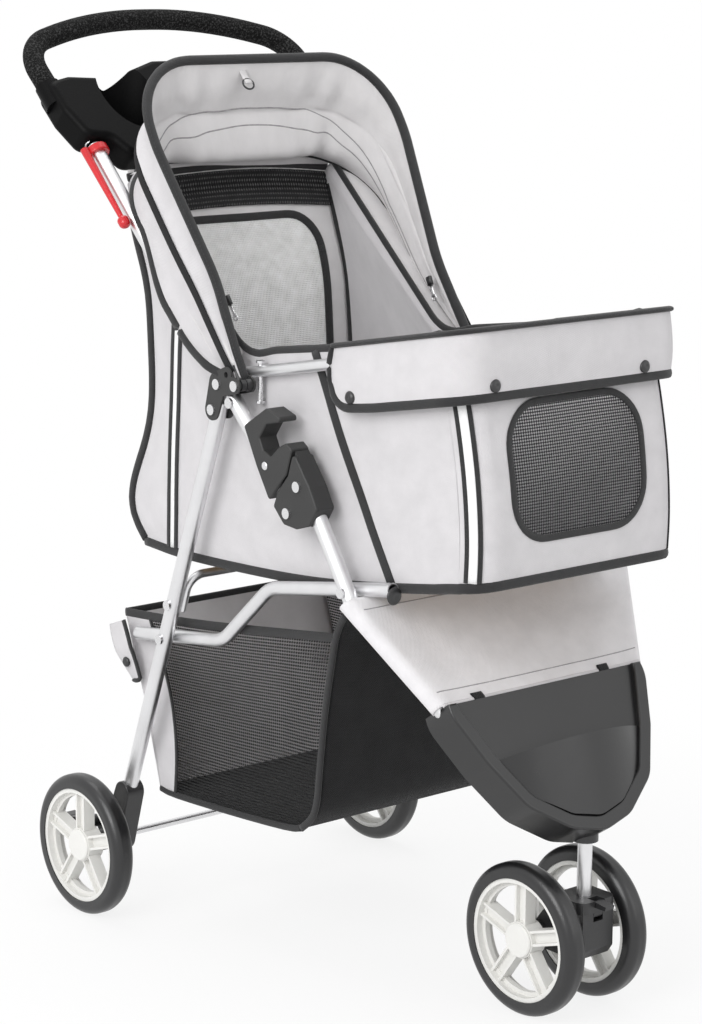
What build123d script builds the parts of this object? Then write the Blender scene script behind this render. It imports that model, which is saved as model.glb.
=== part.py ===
from build123d import *
import math
import os

os.makedirs("parts", exist_ok=True)

# Overall size, front at -Y, in millimetres
overall_length = 765.0
wheel_diameter = 155.0
tyre_width = 24.0
tyre_height = 15.0
wheelbase = 522.0
front_track = 86.0

# Tubes and pins
tube_diameter = 16.0
tube_wall = 1.2
rail_diameter = 14.4
bumper_diameter = 12.0
axle_diameter = 8.0
pin_diameter = 6.0
rivet_head = 11.0
rivet_rise = 2.2
running = 0.05
slide_gap = 0.08
part_gap = 0.4

# Fold pivot and the handle above it
fold_setback = 212.0
fold_height = 489.5
handle_lean = 44.7
grip_diameter = 23.0
grip_drop = 93.7

# Pivots on the handle, measured along the tube and out of its plane
leg_pivot_s = 149.0
leg_pivot_n = -25.5
plate_rivet_s = 162.0
bow_pivot_s = 142.6
bow_pivot_n = 21.5
bumper_pivot_s = 159.4
bumper_pivot_n = 18.5
plate_thickness = 2.2

# Front leg
front_leg_lean = 33.2
housing_rivet_dy = -15.8
housing_rivet_dz = 29.0
rail_pivot_drop = 114.8
leg_bend_drop = 19.0

# Nose
nose_setback = 21.0
nose_top_z = 322.0
nose_lean = 33.4
nose_depth = 34.0
nose_wall = 3.0
stem_diameter = 14.5
stem_lead = 38.5
wheel_room = 44.5

# Soft parts
cabin_half_width = 134.5
cabin_gap = 4.2
cloth = 3.0
hood_cloth = 2.2
flap_cloth = 2.2

# Canopy bows
bow_lean = 29.7
bow_height = 363.0
bow_wire = 5.6
mid_bow_height = 329.0
mid_bow_wire = 5.0

# Points worked out from the dimensions above, as (y, z)
wheel_radius = wheel_diameter / 2
tube_radius = tube_diameter / 2
rail_half_span = cabin_half_width + cabin_gap + rail_diameter / 2
tube_half_span = rail_half_span + rail_diameter / 2 + part_gap + tube_radius
basket_half_width = rail_half_span - rail_diameter / 2 - part_gap
rear_track = 2 * (tube_half_span + wheel_room)
front_axle = (-overall_length / 2 + wheel_radius, wheel_radius)
rear_axle = (front_axle[0] + wheelbase, wheel_radius)
fold_pivot = (front_axle[0] + fold_setback, fold_height)
handle_sin = math.sin(math.radians(handle_lean))
handle_cos = math.cos(math.radians(handle_lean))
handle_top_s = (overall_length / 2 - grip_diameter / 2 - fold_pivot[0]) / handle_sin
grip_start = handle_top_s - grip_drop
nose_top_y = front_axle[0] + nose_setback


def on_handle(s, n):
    """Point of the side view at s along the handle tube and n in front of it."""
    y = fold_pivot[0] + s * handle_sin - n * handle_cos
    z = fold_pivot[1] + s * handle_cos + n * handle_sin
    return (y, z)


def between(a, b, share):
    """Point at a share of the way from a to b."""
    return tuple(p + (q - p) * share for p, q in zip(a, b))


def from_point(start, offsets):
    """Points of the side view at the given offsets from a point."""
    return [(start[0] + dy, start[1] + dz) for dy, dz in offsets]


def side_plane(x):
    """Plane across X whose local x and y are the stroller's y and z."""
    return Plane(origin=(x, 0, 0), x_dir=(0, 1, 0), z_dir=(1, 0, 0))


def lean_plane(y, z, lean):
    """Plane through (0, y, z) that leans back, local x along X and y up the slope."""
    a = math.radians(lean)
    return Plane(origin=(0, y, z), x_dir=(1, 0, 0), z_dir=(0, -math.cos(a), math.sin(a)))


def save(builder, node):
    builder.part.label = node
    export_step(builder.part, f"parts/{node}.step")


def pin_x(point, x_start, x_end, diameter, mode=Mode.ADD):
    """Round pin or hole along X at a point of the side view."""
    with Locations(((x_start + x_end) / 2, point[0], point[1])):
        Cylinder(diameter / 2, abs(x_end - x_start), rotation=(0, 90, 0), mode=mode)


def rivet(point, side, x_in, x_out, diameter=pin_diameter):
    """Rivet on one side of the stroller with a head on its outer face."""
    pin_x(point, side * x_in, side * x_out, diameter)
    pin_x(point, side * x_out, side * (x_out + rivet_rise), rivet_head)


leg_pivot = on_handle(leg_pivot_s, leg_pivot_n)
plate_rivet = on_handle(plate_rivet_s, 0)
bow_pivot = on_handle(bow_pivot_s, bow_pivot_n)
bumper_pivot = on_handle(bumper_pivot_s, bumper_pivot_n)
housing_rivet = (fold_pivot[0] + housing_rivet_dy, fold_pivot[1] + housing_rivet_dz)
leg_sin = math.sin(math.radians(front_leg_lean))
leg_cos = math.cos(math.radians(front_leg_lean))


def on_front_leg(drop):
    """Point of the front leg's axis at a drop below the housing's rivet."""
    return (housing_rivet[0] - drop * leg_sin, housing_rivet[1] - drop * leg_cos)


rail_pivot = on_front_leg(rail_pivot_drop)
rail_crossing = between(rear_axle, leg_pivot, 0.481)
bar_rivet = between(rear_axle, leg_pivot, 0.561)
plate_inner = tube_half_span - tube_radius - 0.3
plate_outer = tube_half_span + tube_radius + 0.5
handle_plane = lean_plane(fold_pivot[0], fold_pivot[1], handle_lean)
bow_plane = lean_plane(bow_pivot[0], bow_pivot[1], bow_lean)
mid_bow_lean = (bow_lean + handle_lean) / 2
mid_bow_plane = lean_plane(bow_pivot[0], bow_pivot[1], mid_bow_lean)
nose_plane = lean_plane(nose_top_y, nose_top_z, nose_lean)


def nose_point(u, v, off):
    """Point of the nose at u across, v up its slope and off in front of its face."""
    return tuple(nose_plane.from_local_coords(Vector(u, v, off)))


# Wheels: tyre, spoked rim and hub cap, the cap on the outer side
rim_radius = wheel_radius - tyre_height
rim_band = 4.5
hub_radius = 18.5
hub_inner = 11.0
hub_outer = 8.0
spoke_count = 5
spoke_rib = 2.6
spoke_span = 13.0


def wheel(x, y, side, name):
    centre = (x, y, wheel_radius)
    section = Plane(origin=centre, x_dir=(side, 0, 0), z_dir=(0, -side, 0))
    face = Plane(origin=centre, x_dir=(0, 1, 0), z_dir=(1, 0, 0))
    turn = Axis(centre, (1, 0, 0))

    with BuildPart() as tyre:
        with BuildSketch(section) as tread:
            with Locations((0, rim_radius + tyre_height / 2)):
                Rectangle(tyre_width, tyre_height)
            fillet(tread.vertices().group_by(Axis.Y)[-1], tyre_height * 0.6)
        revolve(axis=turn)
    save(tyre, f"{name}_tyre")

    with BuildPart() as rim:
        with BuildSketch(section):
            with Locations((0, rim_radius - part_gap / 4 - rim_band / 2)):
                Rectangle(tyre_width - 3, rim_band)
            with Locations((0, rim_radius - rim_band - 2)):
                Rectangle(6, 5)
            with Locations(((hub_outer - hub_inner) / 2, hub_radius / 2)):
                Rectangle(hub_outer + hub_inner, hub_radius)
        revolve(axis=turn)
        spoke_length = rim_radius - rim_band - hub_radius + 3
        with BuildSketch(face):
            with PolarLocations((rim_radius - rim_band + hub_radius) / 2, spoke_count, 90):
                Rectangle(spoke_length, spoke_span)
        extrude(amount=2, both=True)
        with BuildSketch(face):
            with PolarLocations((rim_radius - rim_band + hub_radius) / 2, spoke_count, 90):
                with Locations((0, spoke_span / 2), (0, -spoke_span / 2)):
                    Rectangle(spoke_length, spoke_rib)
        extrude(amount=7, both=True)
        pin_x((y, wheel_radius), x - 20, x + 20, axle_diameter + 2 * running, Mode.SUBTRACT)
    save(rim, f"{name}_rim")

    with BuildPart() as cap:
        with BuildSketch(section):
            with Locations((hub_outer + 1.5, hub_radius / 2 - 0.5)):
                Rectangle(3, hub_radius - 1)
        revolve(axis=turn)
        outer = cap.faces().sort_by(Axis.X)[-1 if side > 0 else 0]
        chamfer(outer.edges(), 1.2)
    save(cap, f"{name}_hub_cap")


for side, hand in ((-1, "left"), (1, "right")):
    wheel(side * front_track / 2, front_axle[0], side, f"front_wheel_{hand}")
    wheel(side * rear_track / 2, rear_axle[0], side, f"rear_wheel_{hand}")

# Caster: block round the stem and the front axle
stem_y = front_axle[0] - stem_lead
block_half = 21.0
block_top = wheel_radius + 46.5
block_bottom = wheel_radius - 14.5
with BuildPart() as caster_block:
    with BuildSketch(side_plane(-block_half)):
        with BuildLine():
            Polyline(
                (stem_y - 20, block_top), (stem_y + 19, block_top), (front_axle[0] + 4, wheel_radius + 17),
                (front_axle[0] + 15, wheel_radius), (front_axle[0] + 3, wheel_radius - 14),
                (stem_y - 13, block_bottom), (stem_y - 20, block_bottom + 10), close=True,
            )
        make_face()
    extrude(amount=2 * block_half)
    fillet(caster_block.edges().filter_by(Axis.X), 4)
    with BuildSketch(Plane.XY.offset(block_top - 12)):
        with Locations((0, stem_y)):
            RectangleRounded(2 * block_half + 6, 44, 10)
    extrude(amount=12)
    pin_x(front_axle, -front_track / 2 + hub_inner + 0.5, front_track / 2 - hub_inner - 0.5, 26)
    with Locations((0, stem_y, block_top - 24)):
        Cylinder(stem_diameter / 2 + running, 60, mode=Mode.SUBTRACT)
    pin_x(front_axle, -60, 60, axle_diameter, Mode.SUBTRACT)
    with BuildSketch(side_plane(-6.5)):
        with Locations((stem_y - 20, block_top - 10)):
            Rectangle(18, 24)
    extrude(amount=13, mode=Mode.SUBTRACT)
    pin_x((stem_y - 16, block_top - 15), -9, 9, 3, Mode.SUBTRACT)
save(caster_block, "caster_block")

with BuildPart() as front_axle_rod:
    reach = front_track / 2 + hub_outer - part_gap
    pin_x(front_axle, -reach, reach, axle_diameter)
save(front_axle_rod, "front_axle")

# Swivel lock: tab in a notch of the block's front, turning on the notch's floor
lock_pivot = (stem_y - 16, block_top - 15)
with BuildPart() as swivel_lock:
    with BuildSketch(side_plane(-6)):
        with Locations(lock_pivot):
            Circle(4)
        with BuildLine():
            x0, z0 = lock_pivot
            Polyline((x0 - 4, z0), (x0 + 4, z0), (x0 - 1, z0 + 13), (x0 - 5, z0 + 14), (x0 - 20, z0 + 12),
                     (x0 - 19, z0 + 8), (x0 - 5, z0 + 8), close=True)
        make_face()
    extrude(amount=12)
    pin_x(lock_pivot, -7, 7, 3 + 2 * running, Mode.SUBTRACT)
save(swivel_lock, "swivel_lock_tab")

with BuildPart() as lock_pin:
    pin_x(lock_pivot, -9, 9, 3)
save(lock_pin, "swivel_lock_pin")

# Stem, its socket in the nose, and the front legs that end on the socket
socket_radius = 13.0
socket_bottom = nose_point(0, -153, 0)[2] - 14.3
socket_top = socket_bottom + 18
with BuildPart() as caster_stem:
    with Locations((0, stem_y, (block_top - 53 + socket_top - 3) / 2)):
        Cylinder(stem_diameter / 2, socket_top - 3 - block_top + 53)
save(caster_stem, "caster_stem")

with BuildPart() as stem_socket:
    with Locations((0, stem_y, (socket_bottom + socket_top) / 2)):
        Cylinder(socket_radius, socket_top - socket_bottom)
    with Locations((0, stem_y, socket_bottom + 7)):
        Cylinder(stem_diameter / 2 + running, socket_top - socket_bottom - 1.9, mode=Mode.SUBTRACT)
save(stem_socket, "stem_socket")

leg_bend = on_front_leg(rail_pivot_drop + leg_bend_drop)
leg_top = on_front_leg(-12)


def leg_route(side):
    """Corners of a front leg, from the fold housing to the stem's socket."""
    top = (side * tube_half_span, *leg_top)
    bend = (side * tube_half_span, *leg_bend)
    return [top, bend, nose_point(side * 125, 0, -14), nose_point(side * 21, -137, -19.5)]


for side, hand in ((-1, "left"), (1, "right")):
    with BuildPart() as front_leg:
        with BuildLine() as route:
            FilletPolyline(*leg_route(side), radius=(45, 45))
        with BuildSketch(Plane(origin=route.line @ 0, z_dir=route.line % 0)):
            Circle(tube_radius)
            Circle(tube_radius - tube_wall, mode=Mode.SUBTRACT)
        sweep()
        for point in (housing_rivet, rail_pivot):
            pin_x(point, side * (tube_half_span - 12), side * (tube_half_span + 14), pin_diameter + 2 * running, Mode.SUBTRACT)
    save(front_leg, f"front_leg_{hand}")

# Nose: shell over both legs with a raised rim, a recessed panel and a half-bowl pocket
rim_rise = 6.0
bowl_top = -60.0
bowl_rise = 22.0
bowl_round = 190.0
bowl_slope = 16.0
bowl_wall = 2.6
nose_half = [(150, 34), (112, -62), (84, -112), (40, -143), (0, -153)]
panel_half = [(134, 34), (98.5, -55.5), (73, -102), (34, -129), (0, -137.5)]
with BuildSketch() as outline:
    with BuildLine():
        FilletPolyline(*[(-u, v) for u, v in nose_half[:-1]], *nose_half[::-1], radius=38, close=True)
    make_face()
    with Locations((0, 54)):
        Rectangle(400, 100, mode=Mode.SUBTRACT)
with BuildSketch() as inside:
    with BuildLine():
        FilletPolyline(*[(-u, v) for u, v in panel_half[:-1]], *panel_half[::-1], radius=28, close=True)
    make_face()

bowl_drop = math.radians(nose_lean - bowl_slope)
bowl_axis = (0, -math.sin(bowl_drop), -math.cos(bowl_drop))
bowl_line = Plane(origin=nose_point(0, bowl_top, bowl_rise - bowl_round), x_dir=(1, 0, 0), z_dir=bowl_axis)
with BuildPart() as bowl:
    with BuildSketch(nose_plane.offset(-1)):
        add(inside.sketch_local)
        with Locations((0, 100 + bowl_top)):
            Rectangle(400, 200, mode=Mode.SUBTRACT)
    extrude(amount=40)
    with Locations(bowl_line):
        Cylinder(bowl_round, 400, mode=Mode.INTERSECT)
with BuildPart() as pocket:
    with BuildSketch(nose_plane):
        add(inside.sketch_local)
        offset(amount=-bowl_wall, mode=Mode.REPLACE)
        with Locations((0, 100 + bowl_top + 1)):
            Rectangle(400, 200, mode=Mode.SUBTRACT)
    extrude(amount=40)
    with Locations(bowl_line):
        Cylinder(bowl_round - bowl_wall, 400, mode=Mode.INTERSECT)

with BuildPart() as nose_shell:
    with BuildSketch(nose_plane):
        add(outline.sketch_local)
    extrude(amount=-nose_depth)
    with BuildSketch(nose_plane.offset(-nose_wall)):
        add(outline.sketch_local)
        offset(amount=-nose_wall, mode=Mode.REPLACE)
    extrude(amount=-nose_depth, mode=Mode.SUBTRACT)
    with BuildSketch(nose_plane):
        add(outline.sketch_local)
        add(inside.sketch_local, mode=Mode.SUBTRACT)
    extrude(amount=rim_rise)
    ridge = nose_shell.faces().sort_by(Axis((0, 0, 0), nose_plane.z_dir))[-1]
    fillet(ridge.edges(), 2.4)
    add(bowl.part)
    add(pocket.part, mode=Mode.SUBTRACT)
    with Locations((0, stem_y, socket_bottom - 5)):
        Cylinder(socket_radius + part_gap, 60, mode=Mode.SUBTRACT)
    for side in (-1, 1):
        with BuildLine() as route:
            FilletPolyline(*leg_route(side), radius=(45, 45))
        with BuildSketch(Plane(origin=route.line @ 0, z_dir=route.line % 0)):
            Circle(tube_radius + part_gap)
        sweep(path=route.line, mode=Mode.SUBTRACT)
save(nose_shell, "nose_shell")

# Apron: cloth panel in front of both legs, from the bend down to the nose
bend_3d = Vector(tube_half_span, *leg_bend)
corner_3d = Vector(*nose_point(125, 0, -14))
slope = math.degrees(math.atan2(bend_3d.Y - corner_3d.Y, bend_3d.Z - corner_3d.Z))
apron_plane = lean_plane(leg_bend[0], leg_bend[1], slope)
apron_length = (Vector(0, bend_3d.Y, bend_3d.Z) - Vector(0, corner_3d.Y, corner_3d.Z)).length
with BuildPart() as apron:
    with BuildSketch(apron_plane.offset(tube_radius + part_gap)):
        with BuildLine():
            low = -apron_length + 12
            Polyline(
                (-tube_half_span - 5, -10), (tube_half_span + 5, -10), (corner_3d.X + 12, low),
                (-corner_3d.X - 12, low), close=True,
            )
        make_face()
    extrude(amount=cloth)
save(apron, "apron")

# Fold housing: clevis on the front leg's top, its cheeks round the handle tube's end
cheek_outer = plate_outer + 3.6
pivot_round = 27.0
for side, hand in ((-1, "left"), (1, "right")):
    with BuildPart() as fold_housing:
        with BuildSketch(side_plane(side * plate_inner)) as cheek:
            with BuildLine():
                y0, z0 = fold_pivot
                Polyline(
                    (y0 - 9, z0 + 63), (y0 - 34, z0 + 31), (y0 - 46, z0 + 10), (y0 - 34, z0 - 8),
                    (y0 - 14, z0 - 14), (y0 + 6, z0 - 12), (y0 + 22, z0 + 4), (y0 + 15, z0 + 20),
                    (y0 - 1, z0 + 38), close=True,
                )
            make_face()
            fillet(cheek.vertices(), 4)
        extrude(amount=side * -plate_thickness)
        with BuildSketch(side_plane(side * (plate_outer - 0.2))):
            add(cheek.sketch_local)
        extrude(amount=side * (cheek_outer - plate_outer + 0.2))
        with BuildSketch(side_plane(side * (plate_inner - 0.1))):
            with BuildLine():
                Polyline(
                    (y0 - 9, z0 + 63), (y0 - 34, z0 + 31), (y0 - 46, z0 + 10), (y0 - 34, z0 - 8),
                    (y0 - 22, z0 - 10), (y0 - 12, z0 + 12), (y0 - 3, z0 + 38), close=True,
                )
            make_face()
        extrude(amount=side * (plate_outer - plate_inner + 0.2))
        start = (side * tube_half_span, *on_front_leg(60))
        with BuildSketch(Plane(origin=start, z_dir=(0, leg_sin, leg_cos))):
            Circle(tube_radius + running)
        extrude(amount=60 + 12 + part_gap, mode=Mode.SUBTRACT)
        for point in (housing_rivet, fold_pivot):
            pin_x(point, side * (tube_half_span - 22), side * (tube_half_span + 24), pin_diameter + 2 * running, Mode.SUBTRACT)
        outer = fold_housing.faces().sort_by(Axis.X)[-1 if side > 0 else 0]
        chamfer(outer.edges().filter_by(GeomType.LINE), 1)
    save(fold_housing, f"fold_housing_{hand}")

with BuildPart() as front_rivets:
    for side in (-1, 1):
        rivet(housing_rivet, side, plate_inner - 2, cheek_outer)
        rivet(fold_pivot, side, plate_inner - 2, cheek_outer)
        rivet(rail_pivot, side, rail_half_span - 4, tube_half_span + tube_radius + 0.1)
save(front_rivets, "front_frame_rivets")

# Handle: two straight tubes, the bow under the grip, the grip and the console
bow_foot_s = grip_start - 82
tube_end_s = bow_foot_s - 4
tube_foot = -8.0
for side, hand in ((-1, "left"), (1, "right")):
    foot = (side * tube_half_span, *on_handle(tube_foot, 0))
    with BuildPart() as handle_tube:
        with BuildSketch(Plane(origin=foot, z_dir=(0, handle_sin, handle_cos))):
            Circle(tube_radius)
            Circle(tube_radius - tube_wall, mode=Mode.SUBTRACT)
        extrude(amount=tube_end_s - tube_foot)
        for point in (fold_pivot, plate_rivet, on_handle(bow_pivot_s - 5, 0)):
            pin_x(point, side * (tube_half_span - 12), side * (tube_half_span + 14), pin_diameter + 2 * running, Mode.SUBTRACT)
    save(handle_tube, f"handle_tube_{hand}")


handle_flare = tube_half_span + 18
handle_bends = (140, 48, 400, 400, 48, 140)


def handle_route(start_s):
    """Half-width and height of the bow's corners in the handle's plane."""
    half = [(tube_half_span + 2, start_s), (handle_flare, grip_start - 4), (handle_flare + 3, handle_top_s - 38)]
    half = half + [(75, handle_top_s)]
    return half


with BuildPart() as handle_bow:
    with BuildLine(handle_plane) as route:
        half = handle_route(bow_foot_s)
        whole = [(-u, v) for u, v in half] + [(u, v) for u, v in reversed(half)]
        FilletPolyline(*whole, radius=handle_bends)
    with BuildSketch(Plane(origin=route.line @ 0, z_dir=route.line % 0)):
        Circle(tube_radius)
        Circle(tube_radius - tube_wall, mode=Mode.SUBTRACT)
    sweep()
save(handle_bow, "handle_bow")

with BuildPart() as foam_grip:
    with BuildLine(handle_plane) as route:
        half = handle_route(bow_foot_s)
        whole = [(-u, v) for u, v in half] + [(u, v) for u, v in reversed(half)]
        FilletPolyline(*whole, radius=handle_bends)
    with BuildSketch(Plane(origin=route.line @ 0, z_dir=route.line % 0)):
        Circle(grip_diameter / 2)
        Circle(tube_radius + running, mode=Mode.SUBTRACT)
    sweep()
    with BuildSketch(handle_plane.offset(-40)):
        with Locations((0, grip_start - 200)):
            Rectangle(500, 400)
    extrude(amount=80, mode=Mode.SUBTRACT)
save(foam_grip, "foam_grip")

console_low = bow_foot_s - 32
console_half = 17.0
cup_diameter = 70.0
cup_x = tube_half_span - 65.5
cup_s = console_low + 70
cup_floor = on_handle(cup_s, 0)[1] - 42.5
cup_wall = 3.0
collar_diameter = grip_diameter + 4
collar_length = 30.0
console_half_plan = [
    (60, console_low), (tube_half_span - 27.5, console_low + 4), (tube_half_span - 13.5, console_low + 28),
    (tube_half_span + 14.5, console_low + 32), (tube_half_span + 25.5, console_low + 68),
    (tube_half_span + 27.5, grip_start - 6), (tube_half_span - 1.5, grip_start + 1),
    (tube_half_span - 56.5, grip_start - 3), (40, grip_start + 20),
]
with BuildPart() as console:
    with BuildSketch(handle_plane.offset(-console_half)) as tray:
        with BuildLine():
            FilletPolyline(
                *[(-u, v) for u, v in console_half_plan], *reversed(console_half_plan),
                radius=12, close=True,
            )
        make_face()
    extrude(amount=2 * console_half)
    fillet(console.faces().sort_by(Axis((0, 0, 0), handle_plane.z_dir))[-1].edges(), 7)
    fillet(console.faces().sort_by(Axis((0, 0, 0), handle_plane.z_dir))[0].edges(), 7)
    for side in (-1, 1):
        foot = (side * handle_flare, *on_handle(grip_start - collar_length, 0))
        with BuildSketch(Plane(origin=foot, z_dir=(0, handle_sin, handle_cos))):
            Circle(collar_diameter / 2)
        extrude(amount=collar_length - part_gap)
    with BuildSketch(Plane.XY.offset(cup_floor - cup_wall)):
        with Locations((-cup_x, on_handle(cup_s, 0)[0]), (cup_x, on_handle(cup_s, 0)[0])):
            Circle(cup_diameter / 2 + cup_wall)
    extrude(amount=66)
    with BuildSketch(handle_plane.offset(console_half)):
        Rectangle(500, 1600)
    extrude(amount=100, mode=Mode.SUBTRACT)
    with BuildSketch(Plane.XY.offset(cup_floor)):
        with Locations((-cup_x, on_handle(cup_s, 0)[0]), (cup_x, on_handle(cup_s, 0)[0])):
            Circle(cup_diameter / 2)
    extrude(amount=120, mode=Mode.SUBTRACT)
    with BuildSketch(handle_plane.offset(console_half)):
        with Locations((0, cup_s)):
            RectangleRounded(2 * cup_x - cup_diameter - 26, 88, 12)
    extrude(amount=-2 * console_half + 4, mode=Mode.SUBTRACT)
    for side in (-1, 1):
        foot = (side * tube_half_span, *on_handle(tube_end_s - 40, 0))
        with BuildSketch(Plane(origin=foot, z_dir=(0, handle_sin, handle_cos))):
            Circle(tube_radius + running)
        extrude(amount=40 + part_gap, mode=Mode.SUBTRACT)
    with BuildLine(handle_plane) as route:
        half = handle_route(bow_foot_s)
        whole = [(-u, v) for u, v in half] + [(u, v) for u, v in reversed(half)]
        FilletPolyline(*whole, radius=handle_bends)
    with BuildSketch(Plane(origin=route.line @ 0, z_dir=route.line % 0)):
        Circle(tube_radius + running)
    sweep(mode=Mode.SUBTRACT)
save(console, "console")

# Red clip: split ring on the left tube with a lever that hangs down to a knob
ring_s = console_low + 16
ring_width = 9.0
ring_wall = 4.4
clip_length = 98.0
knob_radius = 6.4
lever_out = tube_radius + knob_radius + 0.8
with BuildPart() as fold_clip:
    foot = (-tube_half_span, *on_handle(ring_s, 0))
    clip_plane = Plane(origin=foot, x_dir=(1, 0, 0), z_dir=(0, handle_sin, handle_cos))
    with BuildSketch(clip_plane):
        Circle(tube_radius + ring_wall)
    extrude(amount=ring_width)
    fillet(fold_clip.edges(), 1.4)
    with BuildSketch(clip_plane.offset(-clip_length)):
        with Locations((-lever_out, 0)):
            Circle(knob_radius)
    extrude(amount=2 * knob_radius)
    fillet(fold_clip.edges().group_by(Axis.Z)[0], knob_radius - 1.2)
    fillet(fold_clip.faces().filter_by(Plane(origin=(0, 0, 0), z_dir=clip_plane.z_dir)).sort_by(Axis.Z)[1].edges(), 4)
    with BuildSketch(clip_plane.offset(knob_radius - clip_length)):
        with Locations((-lever_out, 0)):
            Circle(2.8)
    with BuildSketch(clip_plane.offset(ring_width - 0.8)):
        with Locations((-lever_out, 0)):
            Circle(4.6)
    loft()
    with BuildSketch(clip_plane.offset(-40)):
        Circle(tube_radius + running)
    extrude(amount=80, mode=Mode.SUBTRACT)
save(fold_clip, "fold_clip")


# Hinge plates: an outer and an inner plate on each handle tube
def arm(a, ra, b, rb):
    """Plate arm between two rounded ends."""
    with BuildSketch() as shape:
        with Locations(a):
            Circle(ra)
        with Locations(b):
            Circle(rb)
        make_hull()
    return shape.sketch


for side, hand in ((-1, "left"), (1, "right")):
    for name, x_face, x_way in (("outer", plate_outer, 1), ("inner", plate_inner, -1)):
        with BuildPart() as hinge_plate:
            with BuildSketch(side_plane(side * x_face)):
                add(arm(leg_pivot, 11, plate_rivet, 13))
                add(arm(plate_rivet, 13, bow_pivot, 8))
                add(arm(plate_rivet, 13, bumper_pivot, 8))
                with Locations(leg_pivot, plate_rivet, bow_pivot, bumper_pivot):
                    Circle(pin_diameter / 2 + running, mode=Mode.SUBTRACT)
            extrude(amount=side * x_way * plate_thickness)
        save(hinge_plate, f"hinge_plate_{name}_{hand}")

with BuildPart() as handle_rivets:
    for side in (-1, 1):
        face = plate_outer + plate_thickness
        rivet(leg_pivot, side, plate_inner - plate_thickness, face)
        rivet(plate_rivet, side, plate_inner - plate_thickness, face)
        rivet(bow_pivot, side, plate_inner - plate_thickness, face)
        rivet(on_handle(bow_pivot_s - 5, 0), side, plate_inner + 1, plate_outer - 0.3, 4)
        pin_x(bumper_pivot, side * (plate_inner - 12), side * plate_inner, pin_diameter)
save(handle_rivets, "handle_rivets")

# Latch slider: hooked moulding on the handle tube, in front of the fold housing's arc
slider_in = plate_inner + 1.2
slider_out = cheek_outer
for side, hand in ((-1, "left"), (1, "right")):
    with BuildPart() as latch_slider:
        with BuildSketch(side_plane(side * (plate_inner - 1.8))) as shape:
            with BuildLine():
                y0, z0 = fold_pivot
                Polyline(
                    (y0 + 28.5, z0 + 8), (y0 + 49, z0 + 41), (y0 + 69, z0 + 79), (y0 + 33, z0 + 101),
                    (y0 + 4, z0 + 91), (y0 + 33, z0 + 85), (y0 + 44, z0 + 70), (y0 + 38, z0 + 58),
                    (y0 + 26, z0 + 53), (y0 + 14, z0 + 64), (y0 + 2, z0 + 70), (y0 - 7, z0 + 64),
                    (y0 + 1.5, z0 + 38.5), (y0 + 18, z0 + 21), close=True,
                )
            make_face()
            fillet(shape.vertices(), 3)
        extrude(amount=side * (cheek_outer - plate_inner + 1.8))
        chamfer(latch_slider.faces().sort_by(Axis.X)[-1 if side > 0 else 0].edges(), 1)
        foot = (side * tube_half_span, *on_handle(0, 0))
        with BuildSketch(Plane(origin=foot, z_dir=(0, handle_sin, handle_cos))):
            Circle(tube_radius + slide_gap)
        extrude(amount=150, mode=Mode.SUBTRACT)
        with Locations((side * tube_half_span, *fold_pivot)):
            Cylinder(pivot_round + part_gap, 60, rotation=(0, 90, 0), mode=Mode.SUBTRACT)
    save(latch_slider, f"latch_slider_{hand}")


# Canopy: two bows of wire and the hood over them
def bow_route(half_foot, half_waist, half_wide, height):
    left = [(-half_foot, 0), (-half_foot, height * 0.09), (-half_waist, height * 0.32)]
    left = left + [(-half_wide, height * 0.73), (-half_wide + 2, height)]
    return left + [(-u, v) for u, v in reversed(left)]


def bow_radii(height):
    """Bend radii of a bow's corners, from the left foot to the right."""
    left = [height * share for share in (0.165, 0.55, 0.41, 0.215)]
    return left + left[::-1]


eye_lip = 0.4
front_foot = plate_inner + part_gap + bow_wire / 2 + eye_lip
bow_spread = tube_half_span + 8
with BuildPart() as front_bow:
    with BuildLine(bow_plane) as route:
        FilletPolyline(*bow_route(front_foot, front_foot - 6, bow_spread, bow_height), radius=bow_radii(bow_height))
    with BuildSketch(Plane(origin=route.line @ 0, z_dir=route.line % 0)):
        Circle(bow_wire / 2)
    sweep()
    for side in (-1, 1):
        pin_x(bow_pivot, side * (front_foot - bow_wire / 2 - eye_lip), side * (front_foot + bow_wire / 2 + eye_lip), 13)
        pin_x(bow_pivot, side * (tube_half_span - 22), side * (tube_half_span + 19), pin_diameter + 2 * running, Mode.SUBTRACT)
save(front_bow, "canopy_front_bow")

mid_foot = front_foot + bow_wire / 2 + mid_bow_wire / 2 + 2 * eye_lip + part_gap
with BuildPart() as mid_bow:
    with BuildLine(mid_bow_plane) as route:
        FilletPolyline(*bow_route(mid_foot, mid_foot - 3, tube_half_span + 2.5, mid_bow_height), radius=bow_radii(mid_bow_height))
    with BuildSketch(Plane(origin=route.line @ 0, z_dir=route.line % 0)):
        Circle(mid_bow_wire / 2)
    sweep()
    for side in (-1, 1):
        pin_x(bow_pivot, side * (mid_foot - mid_bow_wire / 2 - eye_lip), side * (mid_foot + mid_bow_wire / 2 + eye_lip), 12)
        pin_x(bow_pivot, side * (tube_half_span - 22), side * (tube_half_span + 19), pin_diameter + 2 * running, Mode.SUBTRACT)
save(mid_bow, "canopy_mid_bow")

hood_rear_top = console_low - 6
hood_rear_low = 180.0
hood_run = hood_rear_top - hood_rear_low
hood_corner = 0.225 * hood_run
hood_front = bow_plane.offset(-bow_wire / 2 - part_gap)
hood_rear = handle_plane.offset(tube_radius + 2)


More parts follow.
